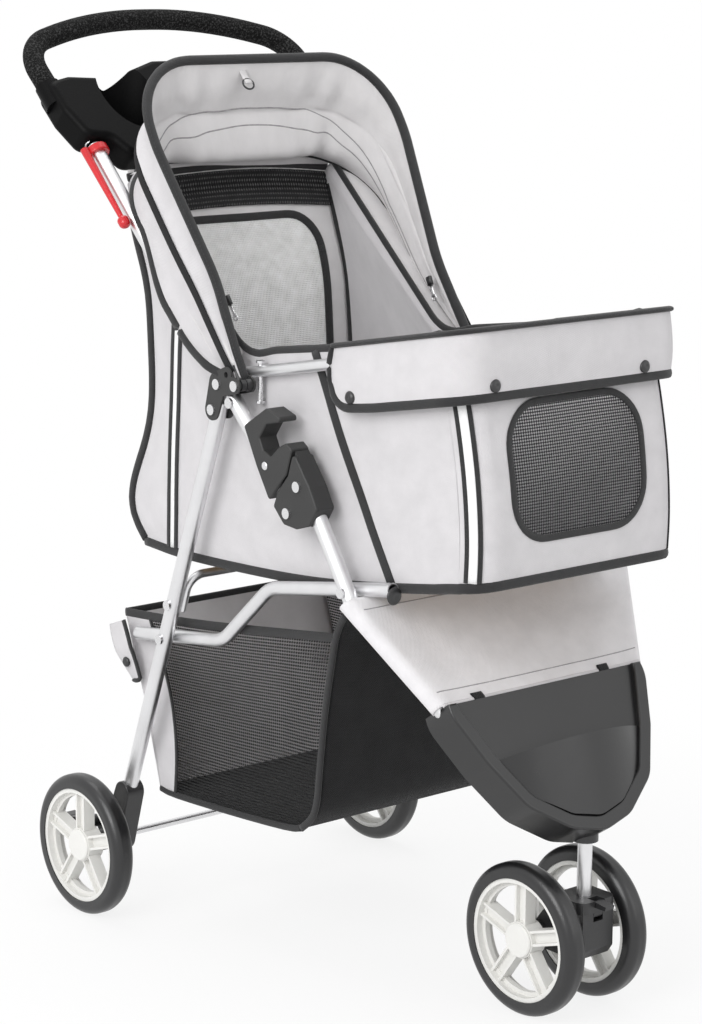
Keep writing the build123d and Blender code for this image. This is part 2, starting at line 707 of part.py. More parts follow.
def hood_profile(grow):
    wide = tube_half_span
    front = [(wide + 6.5, 28), (wide + 5.5, 110), (bow_spread + 6, bow_height - 95), (bow_spread + 4, bow_height + 6)]
    front = [(-u, v) for u, v in front] + front[::-1]
    rear = [(wide + 8.5, 0), (wide + 8.5, 0.23), (wide + 9.5, 0.64), (wide + 9.5, 1)]
    rear = [(u, hood_rear_low + hood_run * share) for u, share in rear]
    rear = [(-u, v) for u, v in rear] + rear[::-1]
    front = [(u + (grow if u > 0 else -grow), v + (grow if v > 300 else 4 * grow)) for u, v in front]
    rear = [(u + (grow if u > 0 else -grow), v + (grow if v > hood_rear_top - 9 else 4 * grow)) for u, v in rear]
    return front, rear


with BuildPart() as canopy_hood:
    front, rear = hood_profile(0)
    with BuildSketch(hood_front):
        with BuildLine():
            FilletPolyline(*front, radius=(8, 60, 60, 80, 80, 60, 60, 8), close=True)
        make_face()
    with BuildSketch(hood_rear):
        with BuildLine():
            FilletPolyline(*rear, radius=(8, 60, 60, hood_corner, hood_corner, 60, 60, 8), close=True)
        make_face()
    loft(ruled=True)
    front, rear = hood_profile(-hood_cloth)
    with BuildSketch(hood_front.offset(0.01)) as cut_front:
        with BuildLine():
            FilletPolyline(*front, radius=(8, 60, 60, 78, 78, 60, 60, 8), close=True)
        make_face()
    with BuildSketch(hood_rear.offset(-0.01)) as cut_rear:
        with BuildLine():
            FilletPolyline(*rear, radius=(8, 60, 60, hood_corner - 2, hood_corner - 2, 60, 60, 8), close=True)
        make_face()
    loft(ruled=True, mode=Mode.SUBTRACT)
save(canopy_hood, "canopy_hood")

# Rear frame: legs, axle, brackets with the brake, and the bar under the cabin's floor
leg_run = Vector(0, leg_pivot[0] - rear_axle[0], leg_pivot[1] - rear_axle[1])
leg_dir = leg_run.normalized()
leg_foot = 17.0
bracket_in = tube_half_span - tube_radius - 3
bracket_out = tube_half_span + tube_radius + 3
hub_face = rear_track / 2 - hub_inner
pedal_pivot = (rear_axle[0] + 24, rear_axle[1] + 14)
for side, hand in ((-1, "left"), (1, "right")):
    foot = Vector(side * tube_half_span, *rear_axle) + leg_dir * leg_foot
    leg_plane = Plane(origin=foot, z_dir=leg_dir)
    with BuildPart() as rear_leg:
        with BuildSketch(leg_plane):
            Circle(tube_radius)
            Circle(tube_radius - tube_wall, mode=Mode.SUBTRACT)
        extrude(amount=leg_run.length - leg_foot + 9)
        pin_x(leg_pivot, side * (tube_half_span - 12), side * (tube_half_span + 14), pin_diameter + 2 * running, Mode.SUBTRACT)
    save(rear_leg, f"rear_leg_{hand}")

    with BuildPart() as bracket:
        with BuildSketch(side_plane(side * bracket_in)):
            upper = (rear_axle[0] + leg_dir.Y * 60, rear_axle[1] + leg_dir.Z * 60)
            add(arm(rear_axle, 16, upper, 12))
            add(arm(rear_axle, 16, pedal_pivot, 7))
        extrude(amount=side * (bracket_out - bracket_in))
        fillet(bracket.faces().sort_by(Axis.X)[0].edges(), 1.5)
        pin_x(rear_axle, side * bracket_out, side * (hub_face - part_gap), 24)
        pin_x(pedal_pivot, side * bracket_out, side * (hub_face - 1), 5)
        with BuildSketch(leg_plane):
            Circle(tube_radius + running)
        extrude(amount=80, mode=Mode.SUBTRACT)
        pin_x(rear_axle, side * (bracket_in - 5), side * (hub_face + 5), axle_diameter + 2 * running, Mode.SUBTRACT)
    save(bracket, f"axle_bracket_{hand}")

    with BuildPart() as brake_pedal:
        tail = (pedal_pivot[0] + 34, pedal_pivot[1] - 4)
        with BuildSketch(side_plane(side * (bracket_out + 1))):
            add(arm(pedal_pivot, 7, tail, 3.5))
        extrude(amount=side * (hub_face - bracket_out - 3))
        with BuildSketch(side_plane(side * (bracket_out + 1))):
            with Locations((tail[0] + 3, tail[1] + 2)):
                RectangleRounded(16, 6, 2)
        extrude(amount=side * (hub_face - bracket_out - 3))
        pin_x(pedal_pivot, side * bracket_in, side * (hub_face + 5), 5 + 2 * running, Mode.SUBTRACT)
        with Locations((side * (tube_half_span + 15), *rear_axle)):
            Cylinder(12 + part_gap, 80, rotation=(0, 90, 0), mode=Mode.SUBTRACT)
    save(brake_pedal, f"brake_pedal_{hand}")

with BuildPart() as rear_axle_rod:
    reach = rear_track / 2 + hub_outer - part_gap
    pin_x(rear_axle, -reach, reach, axle_diameter)
save(rear_axle_rod, "rear_axle")

bar_diameter = 9.0
bar_half = tube_half_span - tube_radius - bar_diameter / 2 - 0.1
bar_room = 18.0
bar_top = (bar_rivet[0] - 12, fold_pivot[1] - 82 - bar_room)
with BuildPart() as support_bar:
    with BuildLine() as route:
        FilletPolyline(
            (-bar_half, bar_rivet[0] + 2, bar_rivet[1] - 8), (-bar_half, *bar_top), (bar_half, *bar_top),
            (bar_half, bar_rivet[0] + 2, bar_rivet[1] - 8), radius=18,
        )
    with BuildSketch(Plane(origin=route.line @ 0, z_dir=route.line % 0)):
        Circle(bar_diameter / 2)
    sweep()
save(support_bar, "floor_support_bar")

with BuildPart() as rear_rivets:
    for side in (-1, 1):
        for point in (rail_crossing, bar_rivet):
            pin_x(point, side * (tube_half_span + tube_radius + 0.05), side * (tube_half_span + tube_radius + 2), rivet_head)
save(rear_rivets, "rear_leg_rivets")

# Carrier: S-bent rails, the cabin with its floor board, and the basket
rail_tail = (rail_crossing[0] + 70, rail_crossing[1] - 9.5)
rail_low_bend = (rail_crossing[0] - 80.5, rail_crossing[1] + 11)
rail_high_bend = (rail_pivot[0] + 139.7, rail_pivot[1] - 23.2)
rail_nose = (rail_pivot[0] - 50, rail_pivot[1] + 8.3)
for side, hand in ((-1, "left"), (1, "right")):
    with BuildPart() as carrier_rail:
        with BuildLine(side_plane(side * rail_half_span)) as route:
            FilletPolyline(rail_tail, rail_low_bend, rail_high_bend, rail_nose, radius=45)
        with BuildSketch(Plane(origin=route.line @ 0, z_dir=route.line % 0)):
            Circle(rail_diameter / 2)
            Circle(rail_diameter / 2 - tube_wall, mode=Mode.SUBTRACT)
        sweep()
        pin_x(rail_pivot, side * (rail_half_span - 5), side * (tube_half_span - 1.5), pin_diameter + 2 * running, Mode.SUBTRACT)
    save(carrier_rail, f"carrier_rail_{hand}")

cabin_floor = from_point(fold_pivot, [(-236, -39.5), (-121, -58.5), (-7, -73.5), (93, -79.5), (240, -83.5)])
cabin_back = from_point(fold_pivot, [
    (289, -77.5), (310, -55.5), (313, -25.5), (280, 40.5), (269, 85.5), (273, 150.5), (279, 200.5),
    (299, 251.5), (317, 308.5),
])
cabin_rim = from_point(fold_pivot, [(301, 316.5), (111, 138.5), (68, 150.5), (-35, 165.5), (-198, 197.5)])
cabin_corner = 26.0
panel_run = Vector(0, cabin_rim[-1][0] - cabin_floor[0][0], cabin_rim[-1][1] - cabin_floor[0][1])
panel_plane = Plane(origin=(0, *cabin_floor[0]), x_dir=(1, 0, 0), z_dir=panel_run)
with BuildSketch(side_plane(-cabin_half_width)) as cabin_side:
    with BuildLine():
        FilletPolyline(*cabin_floor, *cabin_back, *cabin_rim, radius=5, close=True)
    make_face()

with BuildPart() as cabin_void:
    with BuildSketch(side_plane(-cabin_half_width + cloth)):
        add(cabin_side.sketch_local)
        offset(amount=-cloth, mode=Mode.REPLACE)
        with BuildLine():
            Polyline(*from_point(fold_pivot, [
                (295, 306.5), (311, 322.5), (298, 340.5), (103, 160.5), (68, 180.5), (-35, 190.5), (-194, 221.5),
                (-195.5, 185.5), (-35, 150.5), (68, 135.5), (113, 122.5),
            ]), close=True)
        make_face()
    extrude(amount=2 * cabin_half_width - 2 * cloth)
    with BuildSketch(panel_plane.offset(-200)):
        with Locations((0, 450 + cloth)):
            RectangleRounded(2 * cabin_half_width - 2 * cloth, 900, cabin_corner - cloth)
    extrude(amount=800, mode=Mode.INTERSECT)

with BuildPart() as cabin:
    extrude(cabin_side.sketch, amount=2 * cabin_half_width)
    with BuildSketch(panel_plane.offset(-200)):
        with Locations((0, 450)):
            RectangleRounded(2 * cabin_half_width, 900, cabin_corner)
    extrude(amount=800, mode=Mode.INTERSECT)
    add(cabin_void.part, mode=Mode.SUBTRACT)
    for side in (-1, 1):
        with BuildSketch(side_plane(side * (cabin_half_width - 1))):
            with BuildLine():
                a = between(rail_high_bend, rail_nose, 0.25)
                b = between(rail_high_bend, rail_nose, 0.9)
                Polyline((a[0], a[1] + 14), (a[0], a[1] + 24), (b[0], b[1] + 24), (b[0], b[1] + 14), close=True)
            make_face()
        extrude(amount=side * (rail_half_span - rail_diameter / 2 - cabin_half_width + 5))
save(cabin, "cabin")

board_width = 2 * cabin_half_width - 2 * cloth - 4
with BuildPart() as floor_board:
    with BuildSketch(side_plane(-board_width / 2)):
        with BuildLine():
            under = from_point(fold_pivot, [
                (-207, -40.1), (-121, -54.5), (-7, -69.5), (93, -75.5), (240, -79.5), (263, -76.5),
            ])
            over = [(y, z + 4) for y, z in reversed(under)]
            Polyline(*under, *over, close=True)
        make_face()
    extrude(amount=board_width)
save(floor_board, "floor_board")

basket_foot = from_point(rail_crossing, [(-207, -162), (-193, -169), (19, -181), (39, -177)])
basket_rim = from_point(rail_crossing, [(102, 7), (-13, 15), (-260, 52)])
with BuildPart() as basket:
    with BuildSketch(side_plane(-basket_half_width)) as shape:
        with BuildLine():
            FilletPolyline(*basket_foot, *basket_rim, radius=4, close=True)
        make_face()
    extrude(amount=2 * basket_half_width)
    with BuildSketch(side_plane(-basket_half_width + cloth)):
        add(shape.sketch_local)
        offset(amount=-cloth, mode=Mode.REPLACE)
        with BuildLine():
            Polyline(*from_point(rail_crossing, [(95, 0), (97, 27), (-13, 32), (-257, 72), (-255, 37), (-13, 4)]), close=True)
        make_face()
    extrude(amount=2 * basket_half_width - 2 * cloth, mode=Mode.SUBTRACT)
save(basket, "basket")

# Bumper rail round the cabin's front, its two pins and the flap that hangs from it
bumper_slope = 10.1
bumper_front = fold_pivot[0] - 209
bumper_foot_x = plate_inner - plate_thickness - part_gap - bumper_diameter / 2
bumper_front_x = bumper_foot_x - 3.5
slope_rad = math.radians(bumper_slope)
bumper_plane = Plane(
    origin=(0, *bumper_pivot), x_dir=(1, 0, 0), z_dir=(0, math.sin(slope_rad), math.cos(slope_rad))
)
bumper_reach = (bumper_front - bumper_pivot[0]) / math.cos(slope_rad)
with BuildPart() as bumper_rail:
    with BuildLine(bumper_plane) as route:
        FilletPolyline(
            (-bumper_foot_x, 6), (-bumper_front_x, bumper_reach), (bumper_front_x, bumper_reach),
            (bumper_foot_x, 6), radius=34,
        )
    with BuildSketch(Plane(origin=route.line @ 0, z_dir=route.line % 0)):
        Circle(bumper_diameter / 2)
        Circle(bumper_diameter / 2 - tube_wall, mode=Mode.SUBTRACT)
    sweep()
    for side in (-1, 1):
        pin_x(bumper_pivot, side * (bumper_foot_x - 15), side * (bumper_foot_x + 15), pin_diameter + 2 * running, Mode.SUBTRACT)
        with Locations((side * bumper_foot_x, bumper_pivot[0] - 21, bumper_pivot[1] + 4)):
            Cylinder(2.5 + running, 60, mode=Mode.SUBTRACT)
save(bumper_rail, "bumper_rail")

with BuildPart() as bumper_pins:
    for side in (-1, 1):
        for height, low, radius in ((43, -28.8, 2.5), (2.5, -28.8, 4.5), (2.5, 12.2, 4.5)):
            with Locations((side * bumper_foot_x, bumper_pivot[0] - 21, bumper_pivot[1] + low + height / 2)):
                Cylinder(radius, height)
save(bumper_pins, "bumper_pins")

flap_out = bumper_diameter / 2 + part_gap + flap_cloth / 2
flap_start = (fold_pivot[0] - 35 - bumper_pivot[0]) / math.cos(slope_rad)
with BuildPart() as front_flap:
    with BuildSketch(bumper_plane.offset(-47)):
        with BuildLine():
            FilletPolyline(
                (-bumper_foot_x - flap_out + 1.5, flap_start), (-bumper_front_x - flap_out, bumper_reach - flap_out),
                (bumper_front_x + flap_out, bumper_reach - flap_out), (bumper_foot_x + flap_out - 1.5, flap_start),
                radius=36,
            )
        trace(line_width=flap_cloth)
    extrude(amount=64)
save(front_flap, "front_flap")
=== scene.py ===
from math import acos, cos, pi, radians, sin, tan

import bpy
import numpy as np
from mathutils import Matrix, Vector


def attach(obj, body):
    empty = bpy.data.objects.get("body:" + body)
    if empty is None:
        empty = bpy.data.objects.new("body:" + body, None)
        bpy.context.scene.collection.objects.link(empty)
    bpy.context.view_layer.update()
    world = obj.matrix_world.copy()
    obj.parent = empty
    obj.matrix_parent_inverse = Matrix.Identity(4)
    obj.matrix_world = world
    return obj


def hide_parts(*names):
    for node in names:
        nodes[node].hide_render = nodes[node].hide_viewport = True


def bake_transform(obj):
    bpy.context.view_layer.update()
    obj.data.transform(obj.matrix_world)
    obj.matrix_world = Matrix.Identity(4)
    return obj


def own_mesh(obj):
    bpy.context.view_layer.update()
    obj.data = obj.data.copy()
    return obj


# Pet stroller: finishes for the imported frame, and the soft goods that dress it.
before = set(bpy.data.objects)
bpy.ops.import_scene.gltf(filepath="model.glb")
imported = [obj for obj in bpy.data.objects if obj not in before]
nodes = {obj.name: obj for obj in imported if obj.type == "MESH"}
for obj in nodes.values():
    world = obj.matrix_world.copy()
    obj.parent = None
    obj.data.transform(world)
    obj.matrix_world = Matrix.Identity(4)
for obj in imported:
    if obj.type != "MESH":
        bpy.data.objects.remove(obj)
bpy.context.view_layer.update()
MM = 0.001
HANDS = ((-1, "left"), (1, "right"))
MIRROR = np.array([-1, 1, 1])


# Material helpers
def set_values(made, **values):
    """Sets the sockets of these names, with spaces for underscores, or else the properties."""
    for key, value in values.items():
        socket = key.replace("_", " ")
        if socket in made.inputs:
            made.inputs[socket].default_value = value
        else:
            setattr(made, key, value)
    return made


def node(near, kind, **values):
    """Adds a node to the tree of another node or socket."""
    return set_values(near.id_data.nodes.new(kind), **values)


def link(source, target):
    source.id_data.links.new(source, target)


def new_material(name, colour, rough, **values):
    mat = bpy.data.materials.new(name)
    mat.use_nodes = True
    bsdf = mat.node_tree.nodes["Principled BSDF"]
    set_values(bsdf, Base_Color=(*colour, 1), Roughness=rough, **values)
    return mat, bsdf


def maths(operation, a, b=None):
    """Adds a maths node, fed by a socket and by a number or another socket."""
    made = node(a, "ShaderNodeMath", operation=operation)
    link(a, made.inputs[0])
    if isinstance(b, (int, float)):
        made.inputs[1].default_value = b
    elif b is not None:
        link(b, made.inputs[1])
    return made.outputs[0]


def map_range(value, to_span, from_span=(0.0, 1.0), kind="LINEAR"):
    """Carries a value from one span of numbers to another."""
    made = node(value, "ShaderNodeMapRange", interpolation_type=kind)
    set_values(made, From_Min=from_span[0], From_Max=from_span[1], To_Min=to_span[0], To_Max=to_span[1])
    link(value, made.inputs["Value"])
    return made.outputs[0]


def noise(coords, scale, detail, **values):
    made = node(coords, "ShaderNodeTexNoise", Scale=scale, Detail=detail, **values)
    link(coords, made.inputs["Vector"])
    return made.outputs["Fac"]


def stretched(coords, scale):
    made = node(coords, "ShaderNodeMapping", Scale=scale)
    link(coords, made.inputs["Vector"])
    return made.outputs[0]


def colour_ramp(value, bsdf, stops):
    """Colours the surface by a value, between two stops of (position, colour)."""
    made = node(value, "ShaderNodeValToRGB")
    for element, (position, colour) in zip(made.color_ramp.elements, stops):
        element.position = position
        element.color = (*colour, 1)
    link(value, made.inputs["Fac"])
    link(made.outputs["Color"], bsdf.inputs["Base Color"])


def mottle(bsdf, coords, colour, spread, scale, detail=4.0):
    """Varies the base colour softly over the surface."""
    patches = noise(coords, scale, detail, Roughness=0.55)
    dark = [c * (1 - spread) for c in colour]
    pale = [min(1, c * (1 + spread)) for c in colour]
    colour_ramp(patches, bsdf, ((0.3, dark), (0.72, pale)))


def bump(bsdf, height, distance):
    made = node(bsdf, "ShaderNodeBump", Strength=1.0, Distance=distance)
    link(height, made.inputs["Height"])
    link(made.outputs["Normal"], bsdf.inputs["Normal"])


def object_coords(bsdf):
    return node(bsdf, "ShaderNodeTexCoord").outputs["Object"]


def sine_wave(value, pitch):
    return maths("SINE", maths("MULTIPLY", value, 2 * pi / pitch))


def uv_waves(bsdf, pitch_u, pitch_v):
    """The cloth's own UVs, in metres, split in two, with a sine wave along each."""
    uv = node(bsdf, "ShaderNodeTexCoord").outputs["UV"]
    split = node(bsdf, "ShaderNodeSeparateXYZ")
    link(uv, split.inputs[0])
    u, v = split.outputs["X"], split.outputs["Y"]
    return uv, (u, v), (sine_wave(u, pitch_u), sine_wave(v, pitch_v))


# Materials
def woven(name, colour, pitch=0.0017, spread=0.05, depth=0.00022, sheen=0.25):
    """Woven cloth: crossing threads, slubs and a soft mottling."""
    mat, bsdf = new_material(name, colour, 0.85, Sheen_Weight=sheen, Specular_IOR_Level=0.25)
    uv, _, (warp, weft) = uv_waves(bsdf, pitch, pitch * 1.15)
    mottle(bsdf, uv, colour, spread, scale=38.0, detail=6.0)
    slub = noise(stretched(uv, (1.0, 0.18, 1.0)), scale=900.0, detail=2.0)
    crossing = maths("MULTIPLY", warp, weft)
    threads = maths("ADD", crossing, maths("MULTIPLY", slub, 1.4))
    bump(bsdf, threads, depth)
    return mat


def netting(name, colour, pitch, cover):
    """See-through net: threads round holes, cut out by alpha; a higher cover leaves smaller holes."""
    mat, bsdf = new_material(name, colour, 0.7, Specular_IOR_Level=0.3)
    uv, _, (a, b) = uv_waves(bsdf, pitch, pitch)
    mottle(bsdf, uv, colour, spread=0.12, scale=60.0)
    hole = maths("ADD", a, b)
    link(maths("LESS_THAN", hole, cover), bsdf.inputs["Alpha"])
    bump(bsdf, hole, 0.0003)
    return mat


def stitched(name, colour, rough=0.75, spread=0.25):
    """Binding tape: fine ribs along it and a row of stitches."""
    stitch_pitch, row_at, row_half = 0.0042, 0.0022, 0.0005
    mat, bsdf = new_material(name, colour, rough, Sheen_Weight=0.15)
    uv, (u, v), (a, b) = uv_waves(bsdf, 0.0011, 0.0016)
    mottle(bsdf, uv, colour, spread, scale=120.0)
    dash = maths("GREATER_THAN", sine_wave(u, stitch_pitch), 0.1)
    from_row = maths("ABSOLUTE", maths("SUBTRACT", v, row_at))
    row = maths("LESS_THAN", from_row, row_half)
    ribs = maths("MULTIPLY", maths("ADD", a, b), 0.25)
    bump(bsdf, maths("ADD", ribs, maths("MULTIPLY", dash, row)), 0.0003)
    return mat


def ribbed(name, dark, pale, pitch_u, pitch_v):
    """Ribbed tape or net: rows of raised paler knots on a dark ground."""
    mat, bsdf = new_material(name, dark, 0.8, Specular_IOR_Level=0.25)
    uv, _, (a, b) = uv_waves(bsdf, pitch_u, pitch_v)
    knots = maths("MULTIPLY", maths("ADD", a, 1.0), maths("ADD", b, 1.0))
    worn = maths("ADD", noise(uv, scale=90.0, detail=4.0), 0.3)
    shade = maths("MULTIPLY", maths("MULTIPLY", knots, 0.32), worn)
    colour_ramp(shade, bsdf, ((0.3, dark), (0.95, pale)))
    bump(bsdf, knots, 0.0005)
    return mat


def moulded(name, colour, rough, grain=0.00012, scale=420.0, coat=0.0, spread=0.1, shine=0.35, fleck=None):
    """Moulded plastic, rubber or foam: fine grain and uneven gloss, mottled or with paler flecks."""
    mat, bsdf = new_material(name, colour, rough, Coat_Weight=coat, Specular_IOR_Level=shine)
    coords = object_coords(bsdf)
    fine = noise(coords, scale, detail=3.0)
    if fleck:
        flecks = map_range(fine, (colour[0], fleck), (0.48, 0.72))
        link(flecks, bsdf.inputs["Base Color"])
    else:
        mottle(bsdf, coords, colour, spread, scale=14.0)
    bump(bsdf, fine, grain)
    wear = noise(coords, scale=32.0, detail=5.0, Roughness=0.65)
    gloss = map_range(wear, (max(0.04, rough - 0.08), min(1.0, rough + 0.1)))
    link(gloss, bsdf.inputs["Roughness"])
    return mat


def metal(name, colour, rough):
    """Drawn metal: fine lines along it, with uneven gloss."""
    mat, bsdf = new_material(name, colour, rough, Metallic=1.0)
    coords = object_coords(bsdf)
    mottle(bsdf, coords, colour, spread=0.05, scale=22.0)
    lines = noise(stretched(coords, (40.0, 400.0, 400.0)), scale=1.0, detail=4.0)
    gloss = map_range(lines, (rough - 0.07, rough + 0.09))
    link(gloss, bsdf.inputs["Roughness"])
    bump(bsdf, lines, 0.00004)
    return mat


INK = (0.012, 0.012, 0.013)
GREY = woven("grey_cloth", (0.66, 0.645, 0.66))
# The apron's cloth is the grey cloth made paler: painted light over the shade the apron lies in under the
# cabin
APRON_PAINTED_LIGHT = woven("apron_cloth_grey_painted_light", (0.80, 0.785, 0.80))
LINING = woven("lining_cloth", (0.70, 0.685, 0.69), pitch=0.0014, depth=0.00012, sheen=0.1)
BLACK_CLOTH = woven("black_cloth", INK, pitch=0.0022, spread=0.3, depth=0.0003, sheen=0.1)
TAPE = stitched("black_tape", INK)
STRIP = stitched("reflective_tape", (0.86, 0.86, 0.86), rough=0.35, spread=0.03)
NET_DARK = netting("dark_net", (0.03, 0.03, 0.032), pitch=0.0030, cover=0.25)
NET_GREY = netting("grey_net", (0.018, 0.0183, 0.0188), pitch=0.0034, cover=-0.4)
NET_LIGHT = netting("pale_net", (0.92, 0.92, 0.905), pitch=0.0021, cover=1.45)
BAND = ribbed("ribbed_band", (0.018, 0.018, 0.019), (0.17, 0.17, 0.17), 0.0034, 0.0058)
ZIP = ribbed("zip_tape", (0.02, 0.02, 0.021), (0.055, 0.055, 0.057), 0.0024, 0.02)
SEAM = stitched("seam_cord", (0.34, 0.33, 0.34), rough=0.9)
THREAD = stitched("white_thread", (0.62, 0.62, 0.61), rough=0.8)
TUBE = metal("satin_tube", (0.80, 0.80, 0.81), rough=0.38)
STEEL = metal("steel_rod", (0.76, 0.76, 0.77), rough=0.26)
GREY_PLASTIC = moulded("grey_plastic", (0.036, 0.036, 0.036), 0.48)
DARK_PLASTIC = moulded("dark_plastic", (0.004, 0.004, 0.0042), 0.42, shine=0.07)
BLACK_PLASTIC = moulded("black_plastic", (0.014, 0.014, 0.0145), 0.3, grain=0.00004, shine=0.6)
BLOCK_PLASTIC = moulded("block_plastic", (0.02, 0.02, 0.021), 0.36, shine=0.6)
FOAM = moulded("foam", (0.003, 0.003, 0.0032), 0.95, grain=0.0012, scale=520.0, shine=0.2, fleck=0.06)
TYRE = moulded("tyre_rubber", INK, 0.33, grain=0.0001, spread=0.2, shine=0.65)
WHITE_PLASTIC = moulded("wheel_white", (0.77, 0.765, 0.74), 0.38, spread=0.03)
RED_PLASTIC = moulded("red_plastic", (0.55, 0.012, 0.018), 0.25, grain=0.00004, coat=0.5)
BOARD = moulded("board", (0.32, 0.22, 0.13), 0.8, grain=0.0003, scale=240.0, spread=0.2)

# Finish of each CAD node, by how its name starts or ends; a later row wins
STARTS = (
    (TUBE, ("front_leg", "handle_tube", "handle_bow", "rear_leg", "carrier_rail", "bumper_rail")),
    (TUBE, ("floor_support_bar", "caster_stem")),
    (BLOCK_PLASTIC, ("canopy", "stem_socket", "caster_block", "swivel_lock", "axle_bracket", "brake_pedal")),
    (GREY_PLASTIC, ("fold_housing", "hinge_plate", "latch_slider")),
    (DARK_PLASTIC, ("console",)),
    (BLACK_PLASTIC, ("nose_shell",)),
    (RED_PLASTIC, ("fold_clip",)),
    (FOAM, ("foam_grip",)),
    (BOARD, ("floor_board",)),
    (GREY, ("cabin", "front_flap", "canopy_hood", "apron", "basket")),
)
ENDINGS = (
    (STEEL, ("_rivets", "_pin", "_pins", "_axle")),
    (TYRE, ("_tyre",)),
    (WHITE_PLASTIC, ("_rim", "_hub_cap")),
)


def node_finish(name):
    fitting = [mat for mat, starts in STARTS if name.startswith(starts)]
    fitting += [mat for mat, endings in ENDINGS if name.endswith(endings)]
    return fitting[-1]


for name, obj in nodes.items():
    obj.data.materials.clear()
    obj.data.materials.append(node_finish(name))


# Line helpers
def rise(value, start, span):
    """Goes from 0 at start to 1 a span later."""
    return np.clip((value - start) / span, 0, 1)


def ripple(a, b, seed, scale):
    """Smooth repeatable unevenness, about -1 to 1."""
    total = 0.0
    for k in range(4):
        p = seed * 1.7 + k * 2.399
        f = (1 + 0.63 * k) * scale
        total = total + np.sin(a * f * cos(p) + b * f * sin(p) + 5.1 * p) / (1 + 0.5 * k)
    return total / 2.3


def xyz(x, y, z):
    """Points from their coordinates, any of which may be one number for all."""
    return np.stack(np.broadcast_arrays(x, y, z), -1)


def unit(vectors):
    return vectors / np.linalg.norm(vectors, axis=1)[:, None]


def run_length(points):
    """Length along a polyline up to each of its points."""
    return np.concatenate([[0], np.cumsum(np.linalg.norm(np.diff(points, axis=0), axis=1))])


def resample(points, count, rounds=0):
    """Cuts a polyline's corners in rounds and spaces its points evenly."""
    pts = np.asarray(points, float)
    for _ in range(rounds):
        cut = np.stack([0.75 * pts[:-1] + 0.25 * pts[1:], 0.25 * pts[:-1] + 0.75 * pts[1:]], 1)
        cut = cut.reshape(-1, pts.shape[1])
        pts = np.vstack([pts[:1], cut[1:-1], pts[-1:]])
    run = run_length(pts)
    at = np.linspace(0, run[-1], count)
    return np.stack([np.interp(at, run, values) for values in pts.T], 1)


def dense(points, step):
    """Points of a polyline about a step apart."""
    return resample(points, max(8, int(run_length(points)[-1] / step)))


def arc_path(points, radii, count):
    """Polyline with its corners rounded by arcs of the given radii, evenly spaced."""
    pts = np.asarray(points, float)
    made = [pts[0]]
    for before, corner, after, radius in zip(pts, pts[1:], pts[2:], radii):
        d0 = (before - corner) / np.linalg.norm(before - corner)
        d1 = (after - corner) / np.linalg.norm(after - corner)
        half = acos(np.clip(d0 @ d1, -1, 1)) / 2
        turn = pi - 2 * half
        if turn < 0.01:
            made.append(corner)
            continue
        centre = corner + (d0 + d1) / np.linalg.norm(d0 + d1) * radius / sin(half)
        v0 = corner + d0 * radius / tan(half) - centre
        v1 = corner + d1 * radius / tan(half) - centre
        for s in np.linspace(0, 1, 14):
            spoke = sin((1 - s) * turn) * v0 + sin(s * turn) * v1
            made.append(centre + spoke / sin(turn))
    made.append(pts[-1])
    return resample(made, count)


def there_and_back(half):
    """Left half of an outline and its mirror image, as one line."""
    half = np.asarray(half, float)
    return np.vstack([half, half[::-1] * MIRROR[:half.shape[1]]])


def rounded(half_w, half_h, radius, middle):
    """Outline of a rounded rectangle about its middle."""
    made = []
    for k, (sx, sy) in enumerate(((1, 1), (-1, 1), (-1, -1), (1, -1))):
        for a in pi / 2 * (k + np.linspace(0, 1, 9)):
            x = sx * (half_w - radius) + radius * cos(a)
            y = sy * (half_h - radius) + radius * sin(a)
            made.append((x, y))
    return np.array(made) + middle


def inside(outline, x, y):
    """Says which points lie inside a closed outline."""
    hit = np.zeros(np.shape(x), bool)
    for (x0, y0), (x1, y1) in zip(outline, np.roll(outline, -1, 0)):
        if y0 != y1:
            hit ^= ((y0 > y) != (y1 > y)) & (x < (x1 - x0) * (y - y0) / (y1 - y0) + x0)
    return hit


def coons(bottom, top, rear, front):
    """Patch between four edges; rows run from bottom to top, columns from rear to front."""
    a = np.linspace(0, 1, len(bottom))[None, :, None]
    t = np.linspace(0, 1, len(rear))[:, None, None]
    rule_t = (1 - t) * bottom[None] + t * top[None]
    rule_a = (1 - a) * rear[:, None] + a * front[:, None]
    corner = (1 - t) * ((1 - a) * bottom[0] + a * bottom[-1]) + t * ((1 - a) * top[0] + a * top[-1])
    return rule_t + rule_a - corner


def between(first, second, shares):
    """Rows of points from one line to another, one column for each share of the way."""
    shares = np.asarray(shares)[None, :, None]
    return first[:, None] * (1 - shares) + second[:, None] * shares


def cell_middle(grid_values):
    return (grid_values[:-1, :-1] + grid_values[1:, 1:]) / 2


# Mesh helpers
def make(name, verts, faces, mat, uvs=None):
    mesh = bpy.data.meshes.new(name)
    metres = [tuple(float(c) * MM for c in v) for v in verts]
    mesh.from_pydata(metres, [], [tuple(int(i) for i in f) for f in faces])
    mesh.validate()
    if uvs is not None:
        layer = mesh.uv_layers.new(name="UVMap")
        index = np.zeros(len(mesh.loops), np.int32)
        mesh.loops.foreach_get("vertex_index", index)
        layer.data.foreach_set("uv", np.asarray(uvs, np.float32)[index].ravel())
    mesh.polygons.foreach_set("use_smooth", np.ones(len(mesh.polygons), bool))
    mesh.materials.append(mat)
    mesh.update()
    obj = bpy.data.objects.new(name, mesh)
    bpy.context.scene.collection.objects.link(obj)
    return obj


